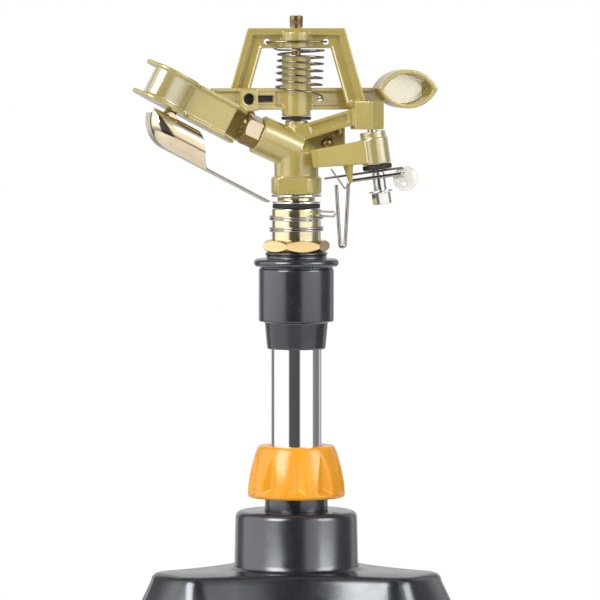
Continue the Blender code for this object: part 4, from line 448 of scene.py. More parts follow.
class Shape:
    """A mesh under construction."""

    def __init__(self) -> None:
        """Start with nothing."""
        self.bm = bmesh.new()

    def take(self, part: bmesh.types.BMesh) -> "Shape":
        """Add another bmesh's faces, and free it.

        Args:
            part: The bmesh to take in.

        Returns:
            The shape.
        """
        held = to_mesh(part, "part")
        self.bm.from_mesh(held)
        bpy.data.meshes.remove(held)
        return self

    def cylinder(self, start: Sequence[float], end: Sequence[float], radius: float,
                 end_radius: float | None = None, sides: int = 64) -> "Shape":
        """Add a closed cylinder or cone between two points.

        Args:
            start: The middle of one end.
            end: The middle of the other.
            radius: The radius at the start.
            end_radius: The radius at the end, where it is another one.
            sides: How many sides it has.

        Returns:
            The shape.
        """
        low, high = Vector(start), Vector(end)
        run = high - low
        place = Matrix.Translation((low + high) / 2) @ run.to_track_quat("Z", "Y").to_matrix().to_4x4()
        far = radius if end_radius is None else end_radius
        bmesh.ops.create_cone(self.bm, cap_ends=True, segments=sides, radius1=radius, radius2=far,
                              depth=run.length, matrix=place)
        return self

    def box(self, low: Triple, high: Triple, place: Matrix = Matrix()) -> "Shape":
        """Add a box.

        Args:
            low: Its lowest corner.
            high: Its highest corner.
            place: Where its frame lies.

        Returns:
            The shape.
        """
        size = Vector(high) - Vector(low)
        middle = Matrix.Translation((Vector(low) + Vector(high)) / 2)
        scale = Matrix.Diagonal((*size, 1.0))
        bmesh.ops.create_cube(self.bm, size=1.0, matrix=place @ middle @ scale)
        return self

    def slab(self, outline: Sequence[Pair], low: float, high: float, place: Matrix = Matrix()) -> "Shape":
        """Add a flat outline, raised from one height to another.

        Args:
            outline: The outline in XY.
            low: The height it starts at.
            high: The height it ends at.
            place: Where its frame lies.

        Returns:
            The shape.
        """
        verts = [self.bm.verts.new(place @ Vector((x, y, low))) for x, y in outline]
        face = self.bm.faces.new(verts)
        made = bmesh.ops.extrude_face_region(self.bm, geom=[face])
        top = [item for item in made["geom"] if isinstance(item, bmesh.types.BMVert)]
        bmesh.ops.translate(self.bm, verts=top, vec=place.to_3x3() @ Vector((0, 0, high - low)))
        return self

    def turned(self, profile: Sequence[Pair], sides: int = SOLID_SIDES, closed: bool = True) -> "Shape":
        """Add a profile turned about Z.

        Args:
            profile: The profile's radii and heights.
            sides: How many steps the turn has.
            closed: Whether the profile's last point joins its first.

        Returns:
            The shape.
        """
        part = bmesh.new()
        verts = [part.verts.new((r, 0, z)) for r, z in profile]
        pairs = list(zip(verts, verts[1:]))
        if closed:
            pairs.append((verts[-1], verts[0]))
        edges = [part.edges.new(pair) for pair in pairs]
        bmesh.ops.spin(part, geom=verts + edges, cent=(0, 0, 0), axis=(0, 0, 1), angle=TURN,
                       steps=sides, use_merge=True)
        bmesh.ops.remove_doubles(part, verts=part.verts, dist=0.0005)
        return self.take(part)

    def hexagon(self, across: float, turn: float = 0.0) -> "Shape":
        """Plane six flats on the sides of a turned shape.

        Args:
            across: The size across the flats.
            turn: How far the first flat is turned from X.

        Returns:
            The shape.
        """
        for i in range(6):
            angle = math.radians(turn) + TURN * i / 6
            normal = Vector((math.cos(angle), math.sin(angle), 0))
            geom = list(self.bm.verts) + list(self.bm.edges) + list(self.bm.faces)
            made = bmesh.ops.bisect_plane(self.bm, geom=geom, plane_co=normal * across / 2,
                                          plane_no=normal, clear_outer=True, dist=1e-5)
            edges = [item for item in made["geom_cut"] if isinstance(item, bmesh.types.BMEdge)]
            bmesh.ops.holes_fill(self.bm, edges=edges, sides=0)
        return self

    def mesh(self, name: str, place: Matrix = Matrix(), scale: float = 1.0) -> bpy.types.Mesh:
        """Close the shape up as a mesh that faces outwards.

        Args:
            name: The mesh's name.
            place: Where the shape's frame lies.
            scale: What the sizes are multiplied by.

        Returns:
            The new mesh.
        """
        bmesh.ops.transform(self.bm, matrix=place, verts=self.bm.verts)
        bmesh.ops.recalc_face_normals(self.bm, faces=self.bm.faces)
        bmesh.ops.scale(self.bm, vec=(scale, scale, scale), verts=self.bm.verts)
        return to_mesh(self.bm, name)


class Casting(Shape):
    """A cast shape: overlapping solids with cuts, skinned over with soft edges."""

    def __init__(self) -> None:
        """Start with no solids and no cuts."""
        super().__init__()
        self.cuts = Shape()

    def skin(self, name: str, place: Matrix, voxel: float, smooth: int = 3) -> bpy.types.Mesh:
        """Join the solids, take the cuts out and round every edge.

        Args:
            name: The mesh's name.
            place: Where the casting's frame lies.
            voxel: The grain of the skin.
            smooth: How many times the skin is smoothed.

        Returns:
            The skin, in metres.
        """
        block = linked(name, self.mesh(name))
        cutter = linked(name + "_cuts", self.cuts.mesh(name + "_cuts"))
        if cutter.data.vertices:
            cut = block.modifiers.new("Cuts", "BOOLEAN")
            cut.operation = "DIFFERENCE"
            cut.object = cutter
            cut.solver = "EXACT"
            cut.use_self = True
        skin = block.modifiers.new("Skin", "REMESH")
        skin.mode = "VOXEL"
        skin.voxel_size = voxel
        soft = block.modifiers.new("Soft", "SMOOTH")
        soft.factor = 0.5
        soft.iterations = smooth
        made = baked(block)
        made.transform(Matrix.Scale(MM, 4) @ place)
        bpy.data.objects.remove(cutter)
        return made


class Workshop:
    """Puts finished meshes in the scene, on their bodies and with their finishes."""

    def __init__(self) -> None:
        """Note what is carried over from the frame."""
        self.finish_of_slot = {finish.slot: finish for finish in SLOT_FINISHES}
        self.materials: dict[Finish, bpy.types.Material] = {}
        bodies = frame["record"]["behaviour"]["bodies"]
        self.body_of = {node: body for body, nodes in bodies.items() for node in nodes}
        entries = frame["record"]["subparts"]
        self.slot_of = {entry["node"]: Slot(entry["material_slot"]) for entry in entries}
        self.done: set[str] = set()

    def material(self, finish: Finish) -> bpy.types.Material:
        """A finish's material, made the first time it is asked for.

        Args:
            finish: The finish.

        Returns:
            Its material.
        """
        if finish not in self.materials:
            self.materials[finish] = finish.material()
        return self.materials[finish]

    def place(self, mesh: bpy.types.Mesh, node: str, sharp: float = 35.0,
              ride: bool = True) -> bpy.types.Object:
        """Let a finished mesh stand for a node.

        Args:
            mesh: The finished mesh, in metres.
            node: The node it stands for.
            sharp: Edges sharper than this angle stay crisp.
            ride: Whether it rides on the node's body.

        Returns:
            The new object.
        """
        made = linked(node + "_finish", mesh)
        slot = self.slot_of[node]
        mesh.materials.clear()
        mesh.materials.append(self.material(NODE_FINISHES.get(node, self.finish_of_slot[slot])))
        mesh.shade_smooth()
        mesh.set_sharp_from_angle(angle=math.radians(sharp))
        if ride:
            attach(made, self.body_of[node])
        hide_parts(node)
        self.done.add(node)
        LOG.info("%s: %d faces", made.name, len(mesh.polygons))
        return made

    def repaint(self, made: bpy.types.Object, finish: Finish,
                chosen: Callable[[bpy.types.MeshPolygon], bool]) -> None:
        """Give some faces of a piece another finish.

        Args:
            made: The finished piece.
            finish: The other finish.
            chosen: Says whether a face gets it.
        """
        mesh = made.data
        mesh.materials.append(self.material(finish))
        for face in filter(chosen, mesh.polygons):
            face.material_index = len(mesh.materials) - 1

    def patch(self, made: bpy.types.Object, finish: Finish, place: Matrix, low: Triple, high: Triple,
              facing: Triple = (0.0, 0.0, 0.0)) -> None:
        """Give the faces of a piece that lie inside a box another finish.

        Args:
            made: The finished piece.
            finish: The finish inside the box.
            place: Where the box's frame lies.
            low: The box's lowest corner.
            high: The box's highest corner.
            facing: The way that the faces look, in the box's frame, where only some of them are meant.
        """
        back = (Matrix.Scale(MM, 4) @ place).inverted()
        ahead = place.to_3x3() @ Vector(facing)

        def inside(face: bpy.types.MeshPolygon) -> bool:
            """Whether a face lies in the box and looks ahead."""
            within = all(a < value < b for a, value, b in zip(low, back @ face.center, high))
            return within and face.normal.dot(ahead) >= 0.6 * ahead.length

        self.repaint(made, finish, inside)

    def edges(self, made: bpy.types.Object, finish: Finish, width: float) -> None:
        """Paint shade on a sheet's narrow faces with another finish, as a dark outline.

        Args:
            made: The finished piece.
            finish: The finish that paints the edges' shade.
            width: Faces narrower than this are edges.
        """
        spots = made.data.vertices

        def narrow(face: bpy.types.MeshPolygon) -> bool:
            """Whether a face is narrow for the line round it.

            Args:
                face: The face.

            Returns:
                Whether its mean width is under the edge's.
            """
            corners = [spots[index].co for index in face.vertices]
            line = sum((b - a).length for a, b in zip(corners, corners[1:] + corners[:1]))
            return 2 * face.area < width * MM * line

        self.repaint(made, finish, narrow)

    def shape(self, shape: Shape, node: str, place: Matrix, sharp: float = 35.0) -> bpy.types.Object:
        """Move a shape to its place and let it stand for a node."""
        return self.place(shape.mesh(node, place, MM), node, sharp)

    def casting(self, cast: Casting, node: str, place: Matrix, voxel: float, smooth: int = 3,
                sharp: float = 80.0) -> bpy.types.Object:
        """Skin a casting and let it stand for a node."""
        return self.place(cast.skin(node, place, voxel, smooth), node, sharp)

    def copy(self, node: str, bevel: float = 0.25, crease: float = 32.0) -> bpy.types.Object:
        """Let a merged copy of a node, with softened edges, stand for it.

        Args:
            node: The node's name.
            bevel: The width of the softened edges.
            crease: Edges sharper than this angle are softened.

        Returns:
            The new object.
        """
        bm = bmesh.new()
        bm.from_mesh(frame["nodes"][node].data)
        bmesh.ops.remove_doubles(bm, verts=bm.verts, dist=1e-6)
        bmesh.ops.dissolve_limit(bm, angle_limit=math.radians(1.0), verts=bm.verts, edges=bm.edges)
        helper = linked(node + "_copy", to_mesh(bm, node))
        soft = helper.modifiers.new("Soft", "BEVEL")
        soft.width = bevel * MM
        soft.segments = 2
        soft.limit_method = "ANGLE"
        soft.angle_limit = math.radians(crease)
        soft.use_clamp_overlap = True
        return self.place(baked(helper), node)

    def rest(self) -> None:
        """Give every node that nothing stands for a merged copy."""
        for node in sorted(set(self.body_of) - self.done):
            self.copy(node)


@dataclass(frozen=True)
class Datum:
    """The carriers' places, read from the frame."""

    hub: Matrix
    head: Matrix
    arm: Matrix
    trip: Matrix

    @staticmethod
    def read(arm_yaw: float = 16.0, trip_lean: float = -8.0, trip_seat: Triple = (42.2, -2.2, 0.6),
             boss: float = 28.7) -> "Datum":
        """Find the carriers' places from the frame's boxes.

        Args:
            arm_yaw: How far the arm stands turned at rest.
            trip_lean: How far the trip gear's bolt leans.
            trip_seat: Where the bolt's head seats, from the head.
            boss: How high the hub's boss stands on its plateau.

        Returns:
            The places.
        """
        pole_low, pole_high = (Vector(corner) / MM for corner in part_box("inner_pole"))
        middle = (pole_low + pole_high) / 2
        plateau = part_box("hub_shell")[1][2] / MM - boss
        hub = Matrix.Translation((middle.x, middle.y, plateau))
        head = Matrix.Translation((middle.x, middle.y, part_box("sprinkler_body")[0][2] / MM))
        lean = Matrix.Rotation(math.radians(trip_lean), 4, "Y")
        return Datum(hub, head, head @ spin_z(arm_yaw), head @ Matrix.Translation(trip_seat) @ lean)


@dataclass
class Assembly:
    """A sub-assembly, with the workshop that takes its pieces and the places that carry it."""

    shop: Workshop
    datum: Datum


@dataclass
class Riser(Assembly):
    """The chrome pole, its lock nut and the black coupling, with heights from the hub's plateau."""

    pole_r: float = 12.7
    pole_wall: float = 1.2
    pole_from: float = -155.0
    pole_to: float = 130.4
    pole_ease: float = 0.4
    nut_z: float = 35.3
    nut_height: float = 26.1
    nut_low_r: float = 24.4
    nut_top_r: float = 19.4
    nut_mouth_r: float = 16.1
    nut_lip: float = 4.0
    nut_clear: float = 0.4
    nut_top_ease: Pair = (0.9, 1.0)
    nut_foot_ease: Pair = (0.7, 1.2)
    nut_dome: Pair = (0.04, 0.90)
    nut_grain: float = 0.42
    flutes: int = 10
    flute_turn: float = 271.5
    flute_half: float = 5.8
    flute_depth: float = 3.0
    flute_foot: float = 5.4
    flute_slope: float = 1.35
    flute_top: float = 22.6
    coupling_z: float = 109.8
    bore_r: float = 10.6
    socket: float = 20.0
    cone: float = 13.7
    cone_r: float = 14.6
    shoulder_r: float = 15.9
    body: float = 27.5
    body_r: float = 18.8
    body_groove: Triple = (0.7, 0.9, 1.3)
    bead: float = 3.9
    bead_r: float = 21.3
    neck: float = 3.3
    neck_r: float = 15.6
    neck_groove: Triple = (0.5, 1.1, 1.5)

    def build(self) -> None:
        """Build the riser's pieces."""
        tube = ring(self.pole_r - self.pole_wall, self.pole_r, self.pole_from, self.pole_to)
        pole = Shape().turned(soften(tube, self.pole_ease), ROUND_SIDES)
        self.shop.shape(pole, "inner_pole", self.datum.hub)
        self.lock_nut()
        self.shop.copy("collet_sleeve", 0.3)
        self.coupling()

    def lock_nut(self) -> None:
        """The domed orange nut with pointed flutes."""
        low = self.nut_z + GAP
        top = self.nut_z + self.nut_height
        bore = self.pole_r + self.nut_clear
        drop = self.nut_low_r - self.nut_top_r
        profile = [(bore, top), (self.nut_top_r - self.nut_top_ease[0], top),
                   (self.nut_top_r, top - self.nut_top_ease[1])]
        first, last = self.nut_dome
        steps = 9
        for i in range(1, steps + 1):
            share = first + (last - first) * i / steps
            profile.append((self.nut_top_r + drop * math.sin(share * QUARTER), top - self.nut_height * share))
        inset, rise = self.nut_foot_ease
        profile += [(self.nut_low_r, low + rise), (self.nut_low_r - inset, low), (self.nut_mouth_r, low),
                    (self.nut_mouth_r, top - self.nut_lip), (bore, top - self.nut_lip)]
        nut = Casting()
        nut.turned(profile, FINE_SIDES)
        apex_r = self.nut_top_r + drop * math.sin((1 - self.flute_top / self.nut_height) * QUARTER)
        foot = Vector((self.nut_low_r - self.flute_depth, 0, low + self.flute_foot))
        run = Vector((apex_r, 0, low + self.flute_top)) - foot
        along = run.normalized()
        axes = Matrix((Vector((along.z, 0, -along.x)), Vector((0, 1, 0)), along)).transposed().to_4x4()
        slope = Matrix.Identity(4)
        slope[2][0] = -self.flute_slope
        place = Matrix.Translation(foot) @ axes @ slope
        far = 2 * self.flute_depth
        groove = [(0, 0), (far, -2 * self.flute_half), (far, 2 * self.flute_half)]
        for i in range(self.flutes):
            turn = Matrix.Rotation(math.radians(self.flute_turn) + TURN * i / self.flutes, 4, "Z")
            nut.cuts.slab(groove, 0.0, run.length + self.flute_depth, turn @ place)
        self.shop.casting(nut, "pole_lock_nut", self.datum.hub, self.nut_grain, 2, 35.0)

    def coupling(self) -> None:
        """The black coupling: cone, grip body, bead and neck."""
        z = self.coupling_z
        body_z = z + self.cone
        bead_z = body_z + self.body
        neck_z = bead_z + self.bead
        top = neck_z + self.neck
        step, lip, lip_foot = self.neck_groove
        sink, sink_top, sink_foot = self.body_groove
        round_r = self.bead / 2
        outer = [(self.bore_r, top), (self.neck_r, top), (self.neck_r, top - lip),
                 (self.neck_r - step, top - lip_foot), (self.neck_r - step, neck_z)]
        outer += arc((self.bead_r - round_r, bead_z + round_r), round_r, QUARTER, -QUARTER, 16)
        outer += [(self.body_r - sink, bead_z), (self.body_r - sink, bead_z - sink_top),
                  (self.body_r, bead_z - sink_foot), (self.body_r, body_z), (self.shoulder_r, body_z),
                  (self.cone_r, z), (self.pole_r + GAP, z)]
        inner = [(self.pole_r + GAP, z + self.socket), (self.bore_r, z + self.socket)]
        profile = soften(outer, 1.0, 5, closed=False) + inner
        self.shop.shape(Shape().turned(profile, FINE_SIDES), "riser_coupling", self.datum.hub, 50.0)


@dataclass
class Swivel(Assembly):
    """The brass nipple, the wire collars and the ring stack, with heights from the hub's plateau."""

    nipple_z: float = 158.2
    hex_flats: float = 29.6
    hex_height: float = 6.0
    hex_turn: float = 42.6
    hex_face: float = 0.985
    hex_chamfer: Pair = (0.6, 2.3)
    sleeve_r: float = 12.3
    sleeve: float = 15.7
    edge_ease: float = 0.45
    spigot_r: float = 10.3
    spigot: float = 10.0
    spigot_in: float = 2.0
    bearing_r: float = 6.2
    collar_wire_r: float = 0.5
    coil_turns: int = 2
    coil_gap: float = 0.2
    upper_collar: Pair = (12.5, -47.0)
    lower_collar: Pair = (4.4, 100.0)
    tab: float = 1.5
    prong_r: float = 28.0
    prong_height: float = 2.3

    def build(self) -> None:
        """Build the swivel's pieces."""
        self.nipple()
        self.rings()
        self.collar("trip_collar_upper", *self.upper_collar, 1)
        self.collar("trip_collar_lower", *self.lower_collar, -1)

    def nipple(self) -> None:
        """The brass hexagon with chamfered corners, its sleeve and its spigot."""
        low = self.nipple_z + GAP
        high = self.nipple_z + self.hex_height
        bore = self.bearing_r + GAP
        corner = self.hex_flats / math.sqrt(3) + self.hex_chamfer[0]
        face = self.hex_flats / 2 * self.hex_face
        nut = Shape().turned([(bore, high), (face, high), (corner, high - self.hex_chamfer[1]),
                              (corner, low + self.hex_chamfer[1]), (face, low), (bore, low)], 144)
        nut.hexagon(self.hex_flats, self.hex_turn)
        top = high + self.sleeve
        root = high - self.spigot_in
        foot = self.nipple_z - self.spigot
        tube = [(bore, top), (self.sleeve_r, top), (self.sleeve_r, root), (self.spigot_r, root),
                (self.spigot_r, foot), (bore, foot)]
        nut.turned(soften(tube, self.edge_ease), ROUND_SIDES)
        made = self.shop.shape(nut, "brass_nipple", self.datum.hub, HEX_CREASE)
        reach = 2 * self.sleeve_r
        self.shop.patch(made, PALE_BRASS, self.datum.hub, (-reach, -reach, high + 0.02),
                        (reach, reach, top + PAST))

    def rings(self) -> None:
        """The rubber, steel and brass rings between the sleeve and the casting."""
        base = self.datum.hub.translation.z
        for node in ("dust_ring", "lower_washer", "spacer_ring", "upper_washer"):
            low, high = (Vector(corner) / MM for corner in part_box(node))
            section = ring(self.bearing_r + GAP, (high.x - low.x) / 2, low.z - base, high.z - base)
            ease = min(self.edge_ease, (high.z - low.z) * 0.4)
            self.shop.shape(Shape().turned(soften(section, ease), ROUND_SIDES), node, self.datum.hub)

    def collar(self, node: str, height: float, azimuth: float, rise: int) -> None:
        """A sprung wire coil with a hairpin prong and a short tab.

        Args:
            node: The collar's node.
            height: How high the coil's end stands above the hexagon.
            azimuth: The prong's bearing.
            rise: 1 where the prong stands above the coil, and -1 where it hangs below.
        """
        ring_r = self.sleeve_r + self.collar_wire_r + GAP
        near = ring_r + 2 * self.collar_wire_r
        bend_r = self.prong_height / 2
        bend = arc((self.prong_r - bend_r, bend_r), bend_r, QUARTER, -QUARTER, 12)
        points = [(near, 0.0, self.prong_height)] + [(x, 0.0, z) for x, z in bend] + [(near, 0.0, 0.0)]
        pitch = 2 * self.collar_wire_r + self.coil_gap
        clear = TURN / 36
        sweep = self.coil_turns * TURN - 2 * clear
        steps = self.coil_turns * 72
        for i in range(steps + 1):
            angle = clear + sweep * i / steps
            points.append((ring_r * math.cos(angle), ring_r * math.sin(angle), -pitch * angle / TURN))
        tab_r = ring_r + self.tab
        points.append((tab_r * math.cos(clear), -tab_r * math.sin(clear), -self.coil_turns * pitch))
        points = [(x, y, rise * z) for x, y, z in points]
        lift = Matrix.Translation((0, 0, self.nipple_z + self.hex_height + height))
        place = self.datum.hub @ lift @ spin_z(azimuth)
        self.shop.place(wire(node, points, self.collar_wire_r, place), node)


@dataclass
class Body(Assembly):
    """The olive casting that carries everything, with heights from its collar's underside."""

    collar_r: float = 12.65
    collar: float = 8.5
    collar_ease: float = 0.7
    collar_flats: float = 20.4
    collar_turn: float = -11.4
    collar_bore_r: float = 6.5
    collar_bore: float = 8.8
    barrel_r: float = 11.1
    barrel_top: float = 23.5
    post_r: float = 5.6
    post_top: float = 36.7
    shoulder_ease: Pair = (0.35, 0.12)
    jet_yaw: float = 16.0
    jet_rise: float = 24.0
    jet_height: float = 21.2
    nozzle_r: float = 9.75
    nozzle_length: float = 21.8
    bore_r: float = 5.2
    bore_depth: float = 9.5
    bridge_top: float = 82.65
    bridge_half: float = 24.3
    bridge_spread: float = 0.2805
    rim: float = 3.5
    band: float = 10.0
    depth: float = 7.4
    web: float = 2.6
    web_inset: float = 0.35
    lip: Pair = (0.9, 0.55)
    left_end: float = 41.0
    right_end: float = 44.0
    foot_y: Pair = (-5.6, -2.7)
    boss_r: float = 7.65
    pin_bore_r: float = 2.5
    post_bore: float = 6.0
    hole_r: float = 1.5
    hole_x: float = 14.7
    lug_x: float = 35.3
    lug_y: float = -2.2
    lug_r: float = 8.7
    lug_turn: float = -15.0
    lug_low: float = 32.3
    lug_top: float = 46.4
    strut_height: float = 7.8
    strut_depth: float = 6.0
    groove: float = 1.6
    panel_x: float = 24.3
    panel_y: Pair = (3.1, 5.3)
    panel_z: Pair = (20.5, 34.5)
    grain: float = 0.38
    screw_spot: Pair = (20.3, 31.0)
    screw_flats: float = 5.2
    screw_head: tuple[Pair, Pair] = ((2.3, 2.9), (3.2, 2.3))
    screw_r: float = 1.55
    screw_length: float = 5.0
    screw_turn: float = 17.19
    rivet_spot: Pair = (15.4, 25.2)
    rivet_r: float = 3.0
    rivet_dome: float = 2.4
    rivet_shank_r: float = 1.8
    rivet_length: float = 4.2

    def jet(self) -> Vector:
        """The way the jet leaves, towards -X and upwards."""
        yaw, rise = math.radians(self.jet_yaw), math.radians(self.jet_rise)
        return Vector((-math.cos(rise) * math.cos(yaw), -math.cos(rise) * math.sin(yaw), math.sin(rise)))

    def mouth(self) -> Vector:
        """The middle of the nozzle barrel's end face."""
        return Vector((0, 0, self.jet_height)) + self.jet() * self.nozzle_length

    def edge(self, height: float) -> float:
        """How far the bridge's outer edge is from the pole axis at a height."""
        return self.bridge_half + (self.bridge_top - height) * self.bridge_spread

    def bridge(self, inset: float, band: float) -> list[Pair]:
        """The bridge's arch in XZ.

        Args:
            inset: How far its outer line is drawn in.
            band: How far its inner line is from the outer edge.

        Returns:
            The arch's outline.
        """
        top = self.bridge_top - inset
        inner_top = self.bridge_top - band
        outer = [(-1, self.left_end), (-1, top), (1, top), (1, self.right_end)]
        inner = [(1, self.right_end), (1, inner_top), (-1, inner_top), (-1, self.left_end)]
        return ([(side * (self.edge(z) - inset), z) for side, z in outer]
                + [(side * (self.edge(z) - band), z) for side, z in inner])

    def build(self) -> None:
        """Build the casting and what is fixed to it."""
        self.casting()
        self.nozzle()
        self.pin()
        self.fasteners()

    def casting(self) -> None:
        """The casting itself."""
        cast = Casting()
        shoulder = self.barrel_r - self.post_r
        ease_out, ease_up = self.shoulder_ease
        ease = self.collar_ease
        cast.turned([
            (0, self.post_top),
            (self.post_r, self.post_top),
            (self.post_r, self.barrel_top + shoulder * 0.5),
            (self.post_r + shoulder * ease_out, self.barrel_top + shoulder * ease_up),
            (self.barrel_r, self.barrel_top - shoulder * 0.5),
            (self.barrel_r, self.collar),
            (self.collar_r - ease, self.collar),
            (self.collar_r, self.collar - ease),
            (self.collar_r, ease),
            (self.collar_r - ease, 0),
            (0, 0),
        ], ROUND_SIDES, closed=False)
        cast.cylinder((0, 0, self.jet_height), self.mouth(), self.nozzle_r, sides=ROUND_SIDES)
        low = self.bridge_top - self.band
        lip_band, lip_rise = self.lip
        for inset, band, half in (
            (self.web_inset, self.band, self.web / 2),
            (0.0, self.rim, self.depth / 2),
            (self.band - lip_band, self.band, self.web / 2 + lip_rise),
        ):
            cast.slab(self.bridge(inset, band), -half, half, UPRIGHT)
        cast.cylinder((0, 0, low), (0, 0, self.bridge_top - self.rim / 2), self.boss_r, sides=SOLID_SIDES)
        self.left_foot(cast)
        corners = arc((0, 0), self.lug_r, math.radians(self.lug_turn), math.radians(self.lug_turn) + TURN, 6)
        lug = Matrix.Translation((self.lug_x, self.lug_y, 0))
        cast.slab(corners[:-1], self.lug_low, self.lug_top, lug)
        self.strut(cast)
        (front, back), (foot, head) = self.panel_y, self.panel_z
        cast.box((self.post_r / 2, front, foot), (self.panel_x, back, head))
        self.cut(cast)
        self.shop.casting(cast, "sprinkler_body", self.datum.head, self.grain)

    def left_foot(self, cast: Casting) -> None:
        """The left leg's thin foot behind the nozzle.

        Args:
            cast: The casting that it is added to.
        """
        top = self.left_end + 2 * self.rim
        mouth = self.mouth()
        under = mouth.z - self.nozzle_r * 0.95
        outline = [
            (-self.edge(top) + self.rim / 8, top),
            (-self.edge(self.left_end) - self.rim / 3, self.left_end - self.band),
            (mouth.x - self.nozzle_r * 0.9, under + self.nozzle_r * 0.42),
            (mouth.x + self.nozzle_r * 0.2, under + self.nozzle_r * 0.12),
            (mouth.x + self.nozzle_r * 0.9, mouth.z),
            (mouth.x, mouth.z + self.nozzle_r * 0.7),
            (-self.edge(top) + self.band * 0.94, top),
        ]
        cast.slab(outline, *self.foot_y, UPRIGHT)

    def strut(self, cast: Casting) -> None:
        """The grooved bar that ties the lug to the post.

        Args:
            cast: The casting that it is added to.
        """
        start = Vector((0, 0, self.post_top - self.strut_height * 0.9))
        run = Vector((self.lug_x - self.lug_r / 2, 0, (self.lug_top + self.lug_low) / 2)) - start
        half = self.strut_height / 2
        front = -GAP - self.strut_depth
        place = Matrix.Translation(start) @ Matrix.Rotation(-math.atan2(run.z, run.x), 4, "Y")
        cast.box((0, front, -half), (run.length, -GAP, half), place)
        low = (self.post_r * 1.35, front - 0.5, -half + self.groove * 1.3)
        high = (run.length - self.lug_r * 0.6, front + self.groove, half - self.groove)
        cast.cuts.box(low, high, place)

    def cut(self, cast: Casting) -> None:
        """Take out the wrench flats, the waterway and the small holes.

        Args:
            cast: The casting that they are cut from.
        """
        cuts = cast.cuts
        wide = 2 * self.collar_r
        for side in (-1, 1):
            near, far = sorted((side * self.collar_flats / 2, side * wide))
            cuts.box((-wide, near, -PAST), (wide, far, self.collar), spin_z(self.collar_turn))
        cuts.cylinder((0, 0, -PAST), (0, 0, self.collar_bore), self.collar_bore_r)
        mouth, jet = self.mouth(), self.jet()
        cuts.cylinder(mouth - jet * self.bore_depth, mouth + jet * 2.0, self.bore_r)
        z = self.bridge_top - (self.rim + self.band) / 2
        for x in (-self.hole_x, self.hole_x):
            cuts.cylinder((x, -self.depth, z), (x, self.depth, z), self.hole_r, sides=40)
        for low, high in ((self.bridge_top - self.band - PAST, self.bridge_top + PAST),
                          (self.post_top - self.post_bore, self.post_top + PAST)):
            cuts.cylinder((0, 0, low), (0, 0, high), self.pin_bore_r, sides=BORE_SIDES)

    def nozzle(self, flats: float = 14.0, length: float = 8.6, chamfer: float = 1.3, bore: float = 2.5,
               sink: float = 3.5, turn: float = 5.0, shank: float = 9.0) -> None:
        """The brass hexagonal nozzle with its chamfered end and countersunk bore.

        Args:
            flats: The size across the flats.
            length: How far it stands out of the barrel.
            chamfer: How far its corners are drawn back.
            bore: The bore's radius.
            sink: How deep the bore widens.
            turn: How far a flat is turned.
            shank: How deep its shank goes.
        """
        corner = flats / math.sqrt(3) + 0.5
        shape = Shape().turned([
            (bore, GAP),
            (corner, GAP),
            (corner, length - chamfer),
            (flats / 2 * 0.97, length),
            (bore * 1.75, length),
            (bore * 1.25, length - 1.6),
            (bore, length - sink),
        ], 120)
        shape.hexagon(flats, turn)
        root_r = self.bore_r - GAP
        shape.turned([(bore, 1.5), (root_r, 1.5), (root_r, -shank), (self.bore_r * 0.7, -shank)], 64)
        aim = self.jet().to_track_quat("Z", "Y").to_matrix().to_4x4()
        place = self.datum.head @ Matrix.Translation(self.mouth()) @ aim
        self.shop.shape(shape, "nozzle", place, HEX_CREASE)

    def pin(self, radius: float = 2.2, head_r: float = 3.45, head: float = 6.0, depth: float = 10.0,
            washer_r: float = 7.45, washer: float = 1.5) -> None:
        """The fulcrum pin with its grooved head, and the rubber washer on the post.

        Args:
            radius: The pin's radius.
            head_r: The head's radius.
            head: The head's height.
            depth: How deep it goes into the post.
            washer_r: The washer's radius.
            washer: The washer's thickness.
        """
        seat = self.bridge_top + GAP
        foot = self.post_top - depth
        shape = Shape().turned([
            (0, seat + head),
            (head_r - 0.6, seat + head),
            (head_r - 0.1, seat + head - 0.4),
            (head_r - 0.15, seat + head * 0.45),
            (head_r - 0.3, seat + head * 0.4),
            (head_r - 0.25, seat),
            (radius, seat),
            (radius, foot),
            (0, foot),
        ], 64, closed=False)
        self.shop.shape(shape, "fulcrum_pin", self.datum.head)
        low = self.post_top + GAP
        section = ring(radius + GAP, washer_r, low, low + washer)
        self.shop.shape(Shape().turned(soften(section, 0.5)), "arm_washer", self.datum.head)

    def fasteners(self) -> None:
        """The brass screw and the domed rivet in the rear panel."""
        (face, top), (corner, brow) = self.screw_head
        head = [(0, top), (face, top), (corner, brow), (corner, GAP), (0, GAP)]
        screw = Shape().turned(head, 72, closed=False).hexagon(self.screw_flats, self.screw_turn)
        screw.cylinder((0, 0, -self.screw_length), (0, 0, 1.2), self.screw_r, sides=32)
        dome = [(0, self.rivet_dome)]
        for angle in (0.25, 0.5, 0.8, 1.1, 1.35, QUARTER):
            dome.append((self.rivet_r * math.sin(angle), self.rivet_dome * math.cos(angle)))
        rivet = Shape().turned(dome + [(0, 0)], 64, closed=False)
        rivet.cylinder((0, 0, -self.rivet_length), (0, 0, 0.7), self.rivet_shank_r, sides=32)
        front = self.panel_y[0] - GAP
        for shape, node, (x, z) in ((screw, "side_screw", self.screw_spot),
                                    (rivet, "dome_rivet", self.rivet_spot)):
            place = self.datum.head @ Matrix.Translation((x, front, z)) @ UPRIGHT
            self.shop.shape(shape, node, place)


